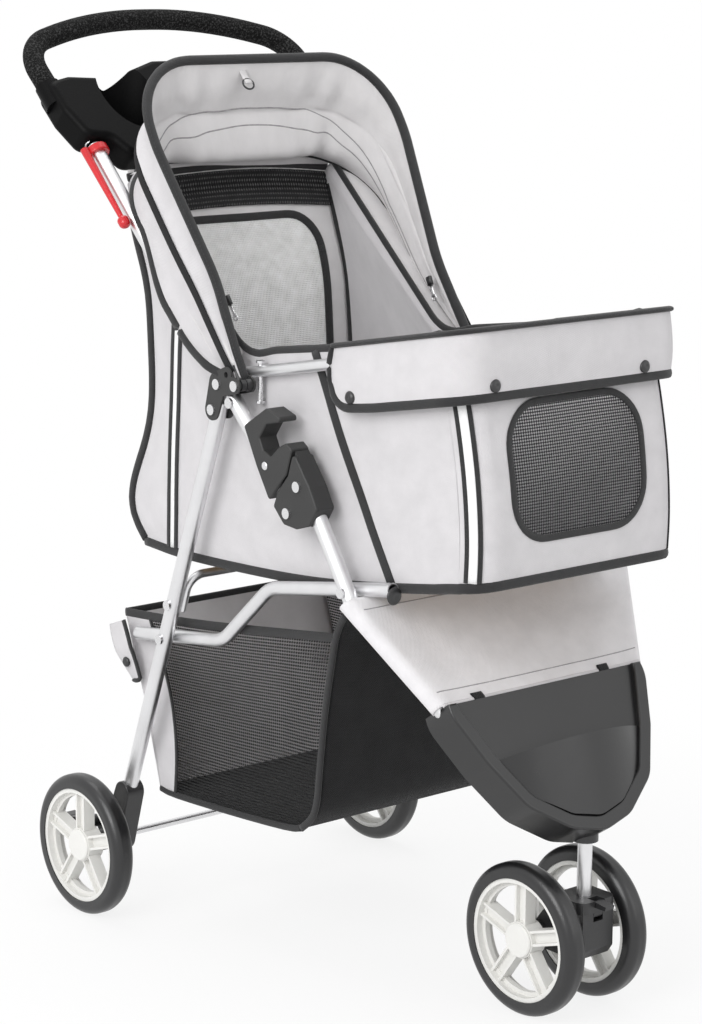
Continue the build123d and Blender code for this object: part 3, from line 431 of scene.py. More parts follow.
def grid(name, points, mat, keep=None):
    """Surface from rows of points; keep says which cells stay."""
    points = np.asarray(points, float)
    rows, cols = points.shape[:2]
    step_u = np.linalg.norm(np.diff(points, axis=1), axis=2).mean(0)
    step_v = np.linalg.norm(np.diff(points, axis=0), axis=2).mean(1)
    u, v = np.meshgrid(np.cumsum([0, *step_u]) * MM, np.cumsum([0, *step_v]) * MM)
    uvs = np.stack([u, v], 2).reshape(-1, 2)
    index = np.arange(rows * cols).reshape(rows, cols)
    faces = np.stack([index[:-1, :-1], index[:-1, 1:], index[1:, 1:], index[1:, :-1]], 2)
    faces = faces.reshape(-1, 4) if keep is None else faces[keep]
    used, place = np.unique(faces, return_inverse=True)
    return make(name, points.reshape(-1, 3)[used], place.reshape(-1, 4), mat, uvs[used])


def sheet(name, points, mat, thickness, keep=None):
    """Grid with the thickness of its cloth."""
    obj = grid(name, points, mat, keep)
    mod = obj.modifiers.new("cloth", "SOLIDIFY")
    mod.thickness = thickness * MM
    mod.offset = 0.0
    mod.use_even_offset = False
    return obj


def oval(width, height, count=12, power=2.6):
    """Rounded flat profile of a tape or piping."""
    turn = 2 * pi * np.arange(count) / count
    round_it = np.stack([np.cos(turn), np.sin(turn)], 1)
    return np.sign(round_it) * np.abs(round_it) ** (2 / power) * (width / 2, height / 2)


def piping(width, height):
    return oval(width, height, power=2.2)


def sweep(name, path, across, profile, mat, closed=False):
    """Carries a closed profile along a path; across is the direction of the profile's first axis."""
    path = np.asarray(path, float)
    n, m = len(path), len(profile)
    across = np.broadcast_to(np.asarray(across, float), path.shape)
    ahead = unit(np.roll(path, -1, 0) - np.roll(path, 1, 0) if closed else np.gradient(path, axis=0))
    side = unit(across - ahead * np.sum(across * ahead, 1)[:, None])
    out = np.cross(ahead, side)
    verts = path[:, None] + side[:, None] * profile[:, :1] + out[:, None] * profile[:, 1:]
    v, u = np.meshgrid(run_length(profile) * MM, run_length(path) * MM)
    index = np.arange(n * m).reshape(n, m)
    after = np.roll(index, -1, 0)
    faces = np.stack([index, after, np.roll(after, -1, 1), np.roll(index, -1, 1)], 2)
    faces = [*faces[:n if closed else n - 1].reshape(-1, 4)]
    if not closed:
        faces += [index[0], index[-1, ::-1]]
    return make(name, verts.reshape(-1, 3), faces, mat, np.stack([u, v], 2).reshape(-1, 2))


DOME_RINGS = ((1.0, -0.25), (1.06, 0.1), (1.0, 0.42), (0.82, 0.72), (0.55, 0.95), (0.36, 1.0), (0.2, 0.86))
DOME_DIMPLE = 0.8
DOME_SIDES = 20


def dome(name, centre, normal, radius, height, mat):
    """Snap or rivet head: a low dome with a rolled rim and a dimple."""
    n = Vector(normal).normalized()
    a = n.orthogonal().normalized()
    b = n.cross(a)
    verts = []
    for r, h in DOME_RINGS:
        for i in range(DOME_SIDES):
            t = 2 * pi * i / DOME_SIDES
            spoke = (a * cos(t) + b * sin(t)) * radius * r
            verts.append(Vector(centre) + spoke + n * height * h)
    verts.append(Vector(centre) + n * height * DOME_DIMPLE)
    sides = [(i, (i + 1) % DOME_SIDES) for i in range(DOME_SIDES)]
    last = (len(DOME_RINGS) - 1) * DOME_SIDES
    faces = []
    for ring in range(0, last, DOME_SIDES):
        above = ring + DOME_SIDES
        faces += [(ring + i, ring + k, above + k, above + i) for i, k in sides]
    faces += [(last + i, last + k, len(verts) - 1) for i, k in sides]
    faces.append(reversed(range(DOME_SIDES)))
    return make(name, verts, faces, mat)


def join(name, pieces):
    bpy.ops.object.select_all(action="DESELECT")
    for piece in pieces:
        piece.select_set(True)
    bpy.context.view_layer.objects.active = pieces[0]
    bpy.ops.object.join()
    pieces[0].name = name
    return pieces[0]


# Cabin outlines, as (y, z) seen from the side
HALF = 134.5
CORNER = 26.0
FLOOR = np.array([(-329, 450), (-214, 431), (-100, 416), (0, 410), (147, 406), (196, 411)], float)
BACK = np.array([
    (196, 412), (217, 434), (220, 464), (187, 530), (176, 575),
    (180, 640), (186, 690), (206, 741), (224, 798),
], float)
RIM = np.array([(208, 806), (112, 716), (18, 628), (-25, 640), (-128, 654), (-292, 682)], float)
RIM_BENDS = (120, 52, 120, 200)
RIM_END = -291
FRONT = np.array([(-329, 450), (-331, 490), (-326, 550), (-314, 610), (-305, 640), (-292, 682)], float)
BACK_TOP = RIM[0, 1]
CABIN_CLOTH = 1.6

back_smooth = resample(BACK, 80, 3)
front_smooth = resample(FRONT, 60, 3)
floor_smooth = resample(FLOOR, 80, 2)


def z_at(outline, y):
    order = np.argsort(outline[:, 0])
    return np.interp(y, outline[order, 0], outline[order, 1])


def y_at(outline, z):
    return z_at(outline[:, ::-1], z)


def front_y(z):
    return y_at(front_smooth, z)


def side_point(side, y, z, lift=0.0):
    """Points on a side panel, which stands out of its plane a little away from its edges."""
    low = rise(z, z_at(floor_smooth, y), 60)
    high = rise(z_at(RIM, y), z, 60)
    fore = rise(y, front_y(z) + CORNER, 40)
    out = (2.2 + 1.1 * ripple(y / 100, z / 100, 1.0, 3.2)) * low * high * fore
    return xyz(side * (HALF + out + lift), y, z)


def front_point(x, z, lift=0.0):
    out = 1.2 * ripple(x / 100, z / 100, 2.0, 3.0) * rise(z, 455, 40)
    return xyz(x, front_y(z) - out - lift, z)


def corner_point(side, turn, z, lift=0.0):
    """Line down a front corner, at an angle of its turn from the side to the front."""
    x = side * (HALF - CORNER + (CORNER + lift) * cos(turn))
    y = front_y(z) + CORNER - (CORNER + lift) * sin(turn)
    return xyz(x, y, z)


def back_point(x, z, lift=0.0):
    slack = 1 - rise(np.abs(x), HALF - 40, 40)
    out = 2.0 * slack * ripple(x / 100, z / 100, 3.0, 2.6)
    return xyz(x, y_at(back_smooth, z) + out - lift, z)


# Cabin wall: left side, corner, front, corner and right side in one sheet
WALL_ROWS = 58
SIDE_COLS = 130
FRONT_COLS = 66
# Each window: half width, half height, corner radius and middle
FRONT_WINDOW = (88, 65, 42, (-2, 552))
BACK_WINDOW = (108, 92, 36, (0, 657))
NET_LAP = 4
wall_z = np.linspace(FRONT[0, 1], FRONT[-1, 1], WALL_ROWS)


def side_patch():
    """A side panel's points as (y, z), between its floor, rim, rear and front edges."""
    rim = arc_path(RIM, RIM_BENDS, 150)
    rim = resample(rim[rim[:, 0] > RIM_END + CORNER], SIDE_COLS)
    rear = resample(back_smooth, WALL_ROWS)
    rear[-1] = rim[0]
    front = np.stack([front_y(wall_z) + CORNER, wall_z], 1)
    floor = resample(floor_smooth[::-1], 200)
    floor = floor[(floor[:, 0] < rear[0, 0]) & (floor[:, 0] > front[0, 0])]
    floor = resample(np.vstack([rear[:1], floor, front[:1]]), SIDE_COLS)
    rim = resample(np.vstack([rim, front[-1:]]), SIDE_COLS)
    return coons(floor, rim, rear, front)


patch = side_patch()
left_side = side_point(-1, patch[..., 0], patch[..., 1])
turns = np.linspace(0, pi / 2, 11)[1:-1]
left_corner = np.stack([corner_point(-1, turn, wall_z) for turn in turns], 1)
front_x, front_z = np.meshgrid(np.linspace(-HALF + CORNER, HALF - CORNER, FRONT_COLS), wall_z)
right_half = [left_corner[:, ::-1] * MIRROR, left_side[:, ::-1] * MIRROR]
wall = np.concatenate([left_side, left_corner, front_point(front_x, front_z), *right_half], 1)
wall_hole = inside(rounded(*FRONT_WINDOW), cell_middle(wall[..., 0]), cell_middle(wall[..., 2]))
front_start = SIDE_COLS + len(turns)
wall_hole[:, :front_start] = False
wall_hole[:, front_start + FRONT_COLS:] = False
cabin_wall = sheet("cabin_wall", wall, GREY, CABIN_CLOTH, ~wall_hole)


# Windows
def window_net(name, point, window, span_x, span_z, lift, mat):
    """Net behind a window, which laps over the edge of the hole."""
    half_w, half_h, radius, middle = window
    outline = rounded(half_w + NET_LAP, half_h + NET_LAP, radius + NET_LAP / 2, middle)
    x, z = np.meshgrid(np.linspace(*span_x), np.linspace(*span_z))
    keep = inside(outline, cell_middle(x), cell_middle(z))
    return grid(name, point(x, z, lift), mat, keep)


def window_tape(name, point, window, middle_z, step, lift, profile):
    """Tape round a window, flat on its panel and turned toward its middle."""
    outline = rounded(*window)
    ring = np.vstack([outline, outline[:1]])
    edge = resample(ring, int(run_length(ring)[-1] / step) + 1)[:-1]
    toward = xyz(-edge[:, 0], 0, middle_z - edge[:, 1])
    return sweep(name, point(edge[:, 0], edge[:, 1], lift), toward, profile, TAPE, closed=True)


front_net = window_net(
    "front_window_net", front_point, FRONT_WINDOW, (-94, 94, 48), (479.5, 621.5, 38), -1.6, NET_DARK)
front_tape = window_tape("front_window_tape", front_point, FRONT_WINDOW, 550.5, 5.0, 1.2, oval(7.2, 2.6))

back_x, back_z = np.meshgrid(np.linspace(-HALF + 1, HALF - 1, 64), np.linspace(BACK[0, 1], BACK_TOP, 84))
back_hole = inside(rounded(*BACK_WINDOW), cell_middle(back_x), cell_middle(back_z))
cabin_back = sheet("cabin_back", back_point(back_x, back_z), LINING, CABIN_CLOTH, ~back_hole)
back_net = window_net(
    "back_window_net", back_point, BACK_WINDOW, (-112, 112, 50), (561, 753, 44), -1.5, NET_LIGHT)
back_tape = window_tape("back_window_tape", back_point, BACK_WINDOW, 657, 6.0, 0.0, oval(9, 5.6))

# Pleated band over the back window
PLEATS = 7
BAND_LOW = 762
BAND_HEIGHT = 43
band_x, band_up = np.meshgrid(np.linspace(-HALF + 2, HALF - 2, 90), np.linspace(0, 1, 64))
dip = (band_x / 150) ** 2
pleat = back_point(band_x, np.minimum(BAND_LOW - 8 * dip + band_up * (BAND_HEIGHT - 2 * dip), BACK_TOP), 3.4)
pleat[..., 1] -= 1.5 * np.abs(np.sin(band_up * pi * PLEATS))
pleat[..., 1] -= 0.8 * ripple(band_x / 40, band_up * 2, 8.0, 1.5)
pleat_band = sheet("pleated_net_band", pleat, BAND, 0.8)
band_up_dir = (0, 0.2, 1)
band_top = pleat[-1] * (1.035, 1, 1) + (0, -1.0, 1.0)
band_row = pleat[-7] + (0, -1.5, 0)
pleat_trim = [
    sweep("band_top_tape", band_top, band_up_dir, oval(9, 4), TAPE),
    sweep("band_stitch_row", band_row, band_up_dir, oval(1.3, 1.0, 8), THREAD),
]

# Cabin floor: cloth over the board, turned up a little at the sides
FLOOR_ENDS = (-318, 196)
BOARD_LIFT = 9.5
floor_y, floor_x = np.meshgrid(
    np.linspace(*FLOOR_ENDS, 90), np.linspace(-HALF + 2, HALF - 2, 40), indexing="ij")
floor_z = z_at(floor_smooth, floor_y) + BOARD_LIFT + ripple(floor_x / 100, floor_y / 100, 4.0, 3.0)
floor_z += 3 * rise(np.abs(floor_x), HALF - 14, 12)
cabin_floor = sheet("cabin_floor", xyz(floor_x, floor_y, floor_z), BLACK_CLOTH, CABIN_CLOTH)


# Cabin tapes and piping
CORNER_TAPE_ENDS = (452, 628)
REAR_STRIP_LINE = ((131.6, 662), (147.5, 410))
SEAM_STRIP_LINE = ((-90, 648), (-208, 431))


def side_tape(name, path, width, depth, mat, lift=1.2):
    """The same tape on both side panels, along a path of (y, z)."""
    path = dense(path, 8.0)
    made = []
    for side, hand in HANDS:
        line = side_point(side, path[:, 0], path[:, 1], lift)
        flat = np.cross(np.gradient(line, axis=0), (side, 0, 0))
        made.append(sweep(f"{name}_{hand}", line, flat, oval(width, depth), mat))
    return made


def corner_tape(name, share, width, mat, lift):
    """Tape down both front corners, at a share of the turn from the side to the front."""
    z = np.linspace(*CORNER_TAPE_ENDS, 30)
    turn = share * pi / 2
    made = []
    for side, hand in HANDS:
        across = (sin(turn) * side, cos(turn), 0)
        made.append(sweep(f"{name}_{hand}", corner_point(side, turn, z, lift), across, oval(width, 1.5), mat))
    return made


def smoothed(values, reach):
    """Moving average, with the end values held."""
    width = 2 * reach + 1
    return np.convolve(np.pad(values, reach, mode="edge"), np.full(width, 1 / width), "valid")


UP = (0, 0, 1)
bottom_line = dense(wall[0], 8.0)
bottom_line[:, 2] = smoothed(bottom_line[:, 2], 4) - 1.5
rim_line = dense(wall[-1], 7.0) + (0, 0, 1.0)
cabin_trim = [
    sweep("cabin_bottom_piping", bottom_line, UP, piping(10.5, 6.5), TAPE),
    sweep("cabin_rim_piping", rim_line, UP, piping(8, 4.5), TAPE),
]
cabin_trim += side_tape("rear_piping", back_smooth[:-4:3], 10, 6, TAPE, 0.8)
REAR_STRIPS = (
    ("rear_strip_edge_a", 6.2, 6.0, TAPE, 1.8),
    ("rear_strip", 0, 9.0, STRIP, 1.2),
    ("rear_strip_edge_b", -6.2, 6.0, TAPE, 1.8),
)
for name, shift, width, mat, lift in REAR_STRIPS:
    cabin_trim += side_tape(name, np.add(REAR_STRIP_LINE, (shift, 0)), width, 1.6, mat, lift)
cabin_trim += side_tape("seam_strip", SEAM_STRIP_LINE, 12, 2.0, TAPE)
cabin_trim += corner_tape("corner_strip_edge_a", 0.205, 4.6, TAPE, 1.9)
cabin_trim += corner_tape("corner_strip", 0.36, 9.0, STRIP, 1.3)
cabin_trim += corner_tape("corner_strip_edge_b", 0.515, 4.6, TAPE, 1.9)

# Front flap, folded over the bumper rail
RAIL_FOOT = (5.97, 615.81)
RAIL_SLOPE = tan(radians(10.1))
FLAP_END = (-150.5, -136)
FLAP_SIDE = -147.5
FLAP_FRONT = -318
FLAP_TURN = 34
FLAP_COLS = 219
FLAP_LEVELS = 30
FLAP_ABOVE_RAIL = 16
FLAP_BELOW_RAIL = 43
FLAP_DEEPER = 3
FLAP_ROUND = 26
FLAP_SNAPS = (0.046, 0.326, 0.645, 0.954)


def flap_plan():
    """Plan of the flap round the rail, from the left side to the right."""
    half = [FLAP_END]
    for turn in np.linspace(0, pi / 2, 11):
        x = FLAP_SIDE + FLAP_TURN - FLAP_TURN * cos(turn)
        half.append((x, FLAP_FRONT + FLAP_TURN - FLAP_TURN * sin(turn)))
    return resample(there_and_back(half), FLAP_COLS)


plan = flap_plan()
plan_run = run_length(plan)
plan_ahead = np.gradient(plan, axis=0)
outward = unit(np.column_stack([plan_ahead[:, 1], -plan_ahead[:, 0], np.zeros(FLAP_COLS)]))
rail_z = RAIL_FOOT[1] - (plan[:, 1] - RAIL_FOOT[0]) * RAIL_SLOPE
from_end = np.minimum(plan_run, plan_run[-1] - plan_run)
end_rise = FLAP_ROUND - np.sqrt(FLAP_ROUND ** 2 - np.clip(FLAP_ROUND - from_end, 0, None) ** 2)
flap_low = rail_z - FLAP_BELOW_RAIL - FLAP_DEEPER * rise(from_end, 0, 60) + end_rise
flap_high = rail_z + FLAP_ABOVE_RAIL


def flap_hang(t):
    """Row of the flap at share t of its height, outside the rail."""
    wave = ripple(plan_run / 100, t * 0.7, 5.0, 4.5) * sin(pi * min(1, t * 1.2))
    out = 2.2 * sin(pi * t) + wave + 2.0 * (1 - t)
    return np.column_stack([plan, flap_low + (flap_high - flap_low) * t]) + outward * out[:, None]


def flap_fold(turn):
    """Row of the flap's top, where it turns over the rail and down behind it."""
    tuck = FLAP_ABOVE_RAIL * max(0, turn - 1.57) / 0.63
    z = flap_high + 3.0 * sin(turn) - tuck
    return np.column_stack([plan, z]) - outward * 7.0 * (1 - cos(turn))


flap_rows = [flap_hang(t) for t in np.linspace(0, 1, FLAP_LEVELS)]
flap_rows += [flap_fold(turn) for turn in (0.35, 0.75, 1.2, 1.7, 2.2)]
flap_rows = np.array(flap_rows)
flap = sheet("flap_cloth", flap_rows, GREY, CABIN_CLOTH)
flap_top = flap_rows[FLAP_LEVELS - 1] + (0, 0, 2.0)
flap_edge = [flap_rows[FLAP_LEVELS - 1:0:-4, 0], flap_rows[0], flap_rows[0:FLAP_LEVELS:4, -1]]
flap_trim = [
    sweep("flap_top_piping", flap_top, outward, piping(9, 5.5), TAPE),
    sweep("flap_edge_piping", dense(np.vstack(flap_edge), 5.0), UP, piping(9.5, 5), TAPE),
]
for k, share_of_plan in enumerate(FLAP_SNAPS):
    col = int(share_of_plan * (FLAP_COLS - 1))
    snap_at = flap_rows[5, col] + outward[col] * 0.8
    snap_normal = outward[col] + (0, 0, 0.1)
    flap_trim.append(dome(f"flap_snap_{k + 1}", snap_at, snap_normal, 6.2, 3.4, BLOCK_PLASTIC))

# Canopy lines: front bow, middle bow and rear edge
BOW_PIVOT = np.array([-7.98, 605.98])
FRONT_LEAN = radians(29.7)
FRONT_TOP = 363.0
FRONT_WIDTHS = (156.8, 156.8, 150.8, 169.5, 167.5)
MID_LEAN = radians(37.2)
MID_TOP = 329.0
MID_WIDTHS = (163.3, 163.3, 160.3, 164.0, 162.0)
BOW_RISES = (0, 0.09, 0.32, 0.73, 1)
BOW_BENDS = np.array([0.165, 0.55, 0.41, 0.215])
FOLD_PIVOT = np.array([-93.0, 489.5])
HANDLE = np.array([0.7034, 0.7108])
HOOD_CENTRE = np.array([0, 60, 700.0])
AROUND = 170


def bow_point(u, v, off=0.0, lean=FRONT_LEAN):
    """Point of a bow's plane: u across, v up the plane, off behind it."""
    y = BOW_PIVOT[0] + v * sin(lean) + off * cos(lean)
    z = BOW_PIVOT[1] + v * cos(lean) - off * sin(lean)
    return xyz(u, y, z)


def handle_point(u, s, n=0.0):
    """Point by the handle tubes: u across, s along them from the fold's pivot, n above them."""
    y = FOLD_PIVOT[0] + HANDLE[0] * s - HANDLE[1] * n
    z = FOLD_PIVOT[1] + HANDLE[1] * s + HANDLE[0] * n
    return xyz(u, y, z)


def bow_outline(widths, top, foot, fine, count):
    """A bow in its plane, as across and up, from above its left foot to above its right one."""
    half = [(-width, rise_share * top) for width, rise_share in zip(widths, BOW_RISES)]
    bends = BOW_BENDS * top
    line = arc_path(there_and_back(half), [*bends, *bends[::-1]], fine)
    return resample(line[line[:, 1] > foot], count)


front_u, front_v = bow_outline(FRONT_WIDTHS, FRONT_TOP, 5, 600, AROUND).T
front_line = bow_point(front_u, front_v)
rear_half = [(-169, 158), (-169, 300), (-167, 446)]
rear_u, rear_s = arc_path(there_and_back(rear_half), (200, 84, 84, 200), AROUND).T
yoke_out = handle_point(rear_u, rear_s, 12.0)
low_part = 1 - rise(rear_s, 268, 100)
low_part = low_part * low_part * (3 - 2 * low_part)
near_pivot = (1 - rise(rear_s, 158, 82)) ** 2
tucked = 1 - rise(rear_s, 158, 28)
rear_x = rear_u + np.sign(rear_u) * low_part * (5.0 - 7.5 * tucked)
rear_line = handle_point(rear_x, rear_s, 12.0 - low_part * (21.0 - 24 * near_pivot))

# Hood shape: share runs round the hood from left to right, t from its rear edge to the front bow
share = np.linspace(0, 1, AROUND)
over = np.clip(np.sin(pi * share), 0, 1) ** 1.5
top_only = rise(front_v, 250, 90)


def behind_mid(line):
    """How far the points of a line lie behind the middle bow's plane."""
    return (line[:, 1] - BOW_PIVOT[0]) * cos(MID_LEAN) - (line[:, 2] - BOW_PIVOT[1]) * sin(MID_LEAN)


mid_row = behind_mid(rear_line) / (behind_mid(rear_line) - behind_mid(front_line))


def hood_point(t, offset):
    """Row of the hood at share t, moved inward by offset."""
    t = np.broadcast_to(t, AROUND)[:, None]
    line = rear_line * (1 - t) + front_line * t
    inward = unit((HOOD_CENTRE - line) * (0.6, 1, 1))
    return line + inward * np.broadcast_to(offset, AROUND)[:, None]


def hood_spans(t):
    """Humps of the free spans behind and in front of the middle bow."""
    return np.sin(pi * rise(t, 0, mid_row)), np.sin(pi * rise(t, mid_row, 1 - mid_row))


def near_mid(t, reach):
    return np.exp(-((t - mid_row) / reach) ** 2)


def hood_sag(t):
    """How far the outer cloth lies inside the straight line from edge to edge."""
    rear, fore = hood_spans(t)
    sag = rear * (-2.5 + 11 * top_only) + fore * (-0.5 + 6 * top_only)
    sag = sag + 1.4 * ripple(share * 6, t * 2, 6.0, 2.0) * np.sin(pi * t)
    return sag - (4.0 + 6 * (1 - over)) * near_mid(t, 0.12)


def lining_in(t):
    """How far the lining hangs inside the hood: folds in front of the seam, a slack pouch behind it."""
    rear, fore = hood_spans(t)
    folds = np.sin(share * 95 + 2.2 * np.sin(share * 31)) + 0.6 * np.sin(share * 61 + 1.3)
    crease = np.exp(-((share - 0.375) / 0.016) ** 2) + np.exp(-((share - 0.625) / 0.016) ** 2)
    flat = 1 / (1 + np.exp((0.36 - share) / 0.012)) / (1 + np.exp((share - 0.64) / 0.012))
    pouch = 8 + 12 * over + 11 * flat - 9 * crease
    slack = fore * (3 + 6 * over) + rear ** 0.8 * pouch
    slack = slack + (3.0 * fore ** 0.7 + 1.2 * rear) * folds * top_only
    return np.maximum(1.5 + slack + 4.6 * near_mid(t, 0.1), hood_sag(t) + 2.2)


# Hood cloth and lining
LINING_ROWS = 61
hood_rows = np.array([hood_point(t, hood_sag(t)) for t in np.linspace(0, 1, 45)])
hood = sheet("canopy_cloth", hood_rows, GREY, 1.2)
lining_rows = np.array([hood_point(t, lining_in(t)) for t in np.linspace(0.01, 0.99, LINING_ROWS)])
hood_lining = sheet("canopy_lining", lining_rows, LINING, 0.8)


def lining_line(t):
    """Line on the lining, at a share t of its rows for each column."""
    at = np.clip(t, 0, 1) * (LINING_ROWS - 1)
    low = np.floor(at).astype(int)
    high = np.minimum(low + 1, LINING_ROWS - 1)
    part = (at - low)[:, None]
    cols = np.arange(AROUND)
    return lining_rows[low, cols] * (1 - part) + lining_rows[high, cols] * part


hood_trim = []
seam_droop = np.minimum(0.55 * ((share - 0.5) / 0.3) ** 2, 0.4)
for label, shift in (("front", 0.055), ("rear", -0.05)):
    seam = lining_line(mid_row + shift - seam_droop)
    seam_side = np.gradient(seam, axis=0)[:, [1, 2, 0]]
    seam_lifted = seam + unit(HOOD_CENTRE - seam) * 0.5
    hood_trim.append(sweep(f"lining_seam_{label}", seam_lifted, seam_side, oval(1.7, 1.1, 8), SEAM))

# Hood bindings, edge piping and zips
EDGE_ROW = 0.965
ZIP_ENDS = (3, 62)
bow_outward = front_line - (0, 110, 760.0)
hood_binding = sweep("canopy_front_binding", front_line, bow_outward, piping(10.5, 9.5), TAPE)
rear_binding = sweep("canopy_rear_binding", rear_line, (0, 0.7, 0.7), piping(9, 5), TAPE)
edge_line = hood_point(EDGE_ROW, hood_sag(EDGE_ROW) - 1.4)
edge_cord = sweep("canopy_edge_cord", edge_line, bow_outward, oval(3.4, 2.6, 10), GREY)
zip_line = hood_point(mid_row - 0.04, hood_sag(mid_row - 0.04) - 1.4)
hood_zips = []
for hand, cols in (("left", slice(*ZIP_ENDS)), ("right", slice(AROUND - ZIP_ENDS[1], AROUND - ZIP_ENDS[0]))):
    zip_row = zip_line[cols]
    zip_side = np.cross(np.gradient(zip_row, axis=0), zip_row - HOOD_CENTRE)
    hood_zips.append(sweep(f"hood_zip_{hand}", zip_row, zip_side, oval(10, 2.0), ZIP))

# Sleeve sewn round the middle bow
mid_u, mid_v = bow_outline(MID_WIDTHS, MID_TOP, 22, 700, 260).T
mid_across = (0, cos(MID_LEAN), -sin(MID_LEAN))
mid_line = bow_point(mid_u, mid_v, lean=MID_LEAN)
mid_sleeve = sweep("canopy_mid_sleeve", mid_line, mid_across, oval(7.2, 7.2, 12, 2.0), LINING)

# Yoke between the hood's rear edge and the cabin's rim, over the handle tubes
left_rim = [(-HALF, 24, 634), (-HALF, 112, 716), (-HALF, 208, BACK_TOP), (-HALF, 221, 800)]
yoke_in = resample(there_and_back(left_rim), AROUND)
yoke_rows = []
for t in np.linspace(0, 1, 12):
    row = yoke_out * (1 - t) + yoke_in * t
    row[:, 2] += (2.2 + 0.8 * ripple(share * 5, t, 9.0, 2.0)) * sin(pi * t)
    yoke_rows.append(row)
hood_yoke = sheet("canopy_yoke", yoke_rows, LINING, 1.0)

# Tab with a ring inside the front edge
TAB_X = -19.0
TAB_ENDS = (358, 338)
RING_UP = 336
ring_turn = np.linspace(0, 2 * pi, 28, endpoint=False)
tab_x = np.add(TAB_X, (-4.5, -1.5, 1.5, 4.5))
tab_rows = np.stack([bow_point(x, np.linspace(*TAB_ENDS, 7), 7.0) for x in tab_x], 1)
tab_rows[..., 1] -= 4 * np.linspace(0, 1, 7)[:, None] ** 2
hood_tab = sheet("canopy_tab", tab_rows, LINING, 1.4)
ring_line = bow_point(TAB_X + 7.0 * np.cos(ring_turn), RING_UP + 6.0 * np.sin(ring_turn), 5.0)
hood_ring = sweep("canopy_ring", ring_line, (0, 1, 0.5), oval(2.0, 2.0, 10, 2.0), BLOCK_PLASTIC, closed=True)


# Pulls of the hood's zips, inside the front edge
PULL_X = 138.0
PULL_ENDS = (100, 76)


def zip_pull(side, hand):
    """Slider, pull and eyelet, joined to one piece."""
    across = (0, 1, 0.3)
    line = bow_point(side * (PULL_X - np.linspace(0, 2, 6)), np.linspace(*PULL_ENDS, 6), 8.0)
    circle = xyz(0, 3.4 * np.cos(ring_turn), 3.4 * np.sin(ring_turn))
    wire = oval(1.5, 1.5, 8, 2.0)
    slider = sweep(f"zip_slider_{hand}", line[:3], across, oval(7.5, 5.0), BLOCK_PLASTIC)
    pull = sweep(f"zip_pull_{hand}", line[2:], across, oval(4.2, 1.8), STEEL)
    eyelet = sweep(f"zip_eyelet_{hand}", line[5] + circle, (1, 0, 0), wire, STEEL, closed=True)
    return join(f"zip_pull_{hand}", [slider, pull, eyelet])


zip_pulls = [zip_pull(side, hand) for side, hand in HANDS]

# Apron between the front legs, with a sleeve round each leg
LEG_TOP = np.array([161.5, -182.0, 406.0])
LEG_LOW = np.array([125.0, -276.4, 314.3])
LEG_SLEEVE = 9.6
SLEEVE_COLS = 15
APRON_COLS = 60


def apron_row(t):
    """Row across the apron at share t down the legs, which flares out on the right."""
    x_leg, y_leg, z_leg = LEG_TOP * (1 - t) + LEG_LOW * t
    wrap = np.linspace(radians(205), 0, SLEEVE_COLS)
    flat_x = np.linspace(-x_leg, x_leg, APRON_COLS + 2)[1:-1]
    sleeve_x = LEG_SLEEVE * np.sin(wrap)
    x = np.concatenate([-x_leg - sleeve_x, flat_x, x_leg + sleeve_x[::-1]])
    u = flat_x / x_leg
    hollow = -4.5 * (1 - u ** 2) * sin(pi * np.clip(t, 0, 1))
    flat_out = LEG_SLEEVE + hollow + 0.8 * ripple(u * 3, t * 3, 7.0, 2.2)
    sleeve_out = LEG_SLEEVE * np.cos(wrap)
    out = np.concatenate([sleeve_out, flat_out, sleeve_out[::-1]])
    right = rise(np.clip(x / x_leg, -1, 1), 0.55, 0.45) ** 2
    flare = right * (1 - np.clip(t, 0, 1))
    out = out + 13 * flare
    return xyz(x + 24 * flare + 6 * right, y_leg - 0.70 * out, z_leg + 0.715 * out)


apron_rows = np.array([apron_row(t) for t in np.linspace(-0.06, 0.955, 46)])
# The paler apron cloth paints in light where the apron lies in shade
apron = sheet("apron_cloth", apron_rows, APRON_PAINTED_LIGHT, 1.4)
leg_across = np.array([0, 0.7, 0.7])
apron_trim = [sweep("apron_hem", apron_rows[-1, 12:-12], leg_across, oval(4.5, 3.0), GREY)]
for label, row in (("low", -6), ("top", 5)):
    seam = apron_rows[row, 14:-14] + (0, -0.5, 0.55)
    apron_trim.append(sweep(f"apron_seam_{label}", seam, leg_across, oval(1.2, 0.7, 8), SEAM))
for hand, col in (("left", 24), ("right", -25)):
    hem = apron_rows[-1, col]
    strap = [apron_rows[-3, col] + (0, -0.9, 0.9), hem + (0, -1.4, 0.6), hem + (0, -4.2, -5.0)]
    strap = resample(strap, 8, 1)
    strap = np.stack([strap + (dx, 0, 0) for dx in np.linspace(-7, 7, 6)], 1)
    apron_trim.append(sheet(f"apron_strap_{hand}", strap, BLACK_CLOTH, 1.4))

# Basket outlines, as (y, z) seen from the side
BASKET_HALF = 138.3
BASKET_TOP = (-127, 364)
BASKET_SNAP = (154.0, 209, 275)
foot = resample([(168, 139), (146, 136), (-52, 147), (-73, 153)], 90, 2)
brim = resample([(229, 325), (114, 333), BASKET_TOP], 90, 2)
rear = resample([(168, 139), (176, 160), (198, 236), (229, 325)], 50, 1)
front = resample([(-73, 153), (-97, 172), (-103, 225), (-109, 275), (-118, 322), BASKET_TOP], 50, 2)
tongue = resample(np.vstack([front[:-2], [BASKET_TOP, (-134, 380), (-142, 390)]]), 60, 1)
net_edge = resample([(141, 139), (143, 183), (160, 260), (186, 327)], 50, 2)
tab_rear = resample([(241, 311), (236, 293), (222, 270), (209, 252)], 24, 2)
tab_fore = resample([(213, 321), (203, 301), (197, 281), (195, 257)], 24, 2)
basket_x = np.linspace(-BASKET_HALF, BASKET_HALF, 40)
BAND_SHARES = np.linspace(0, 1, 10)


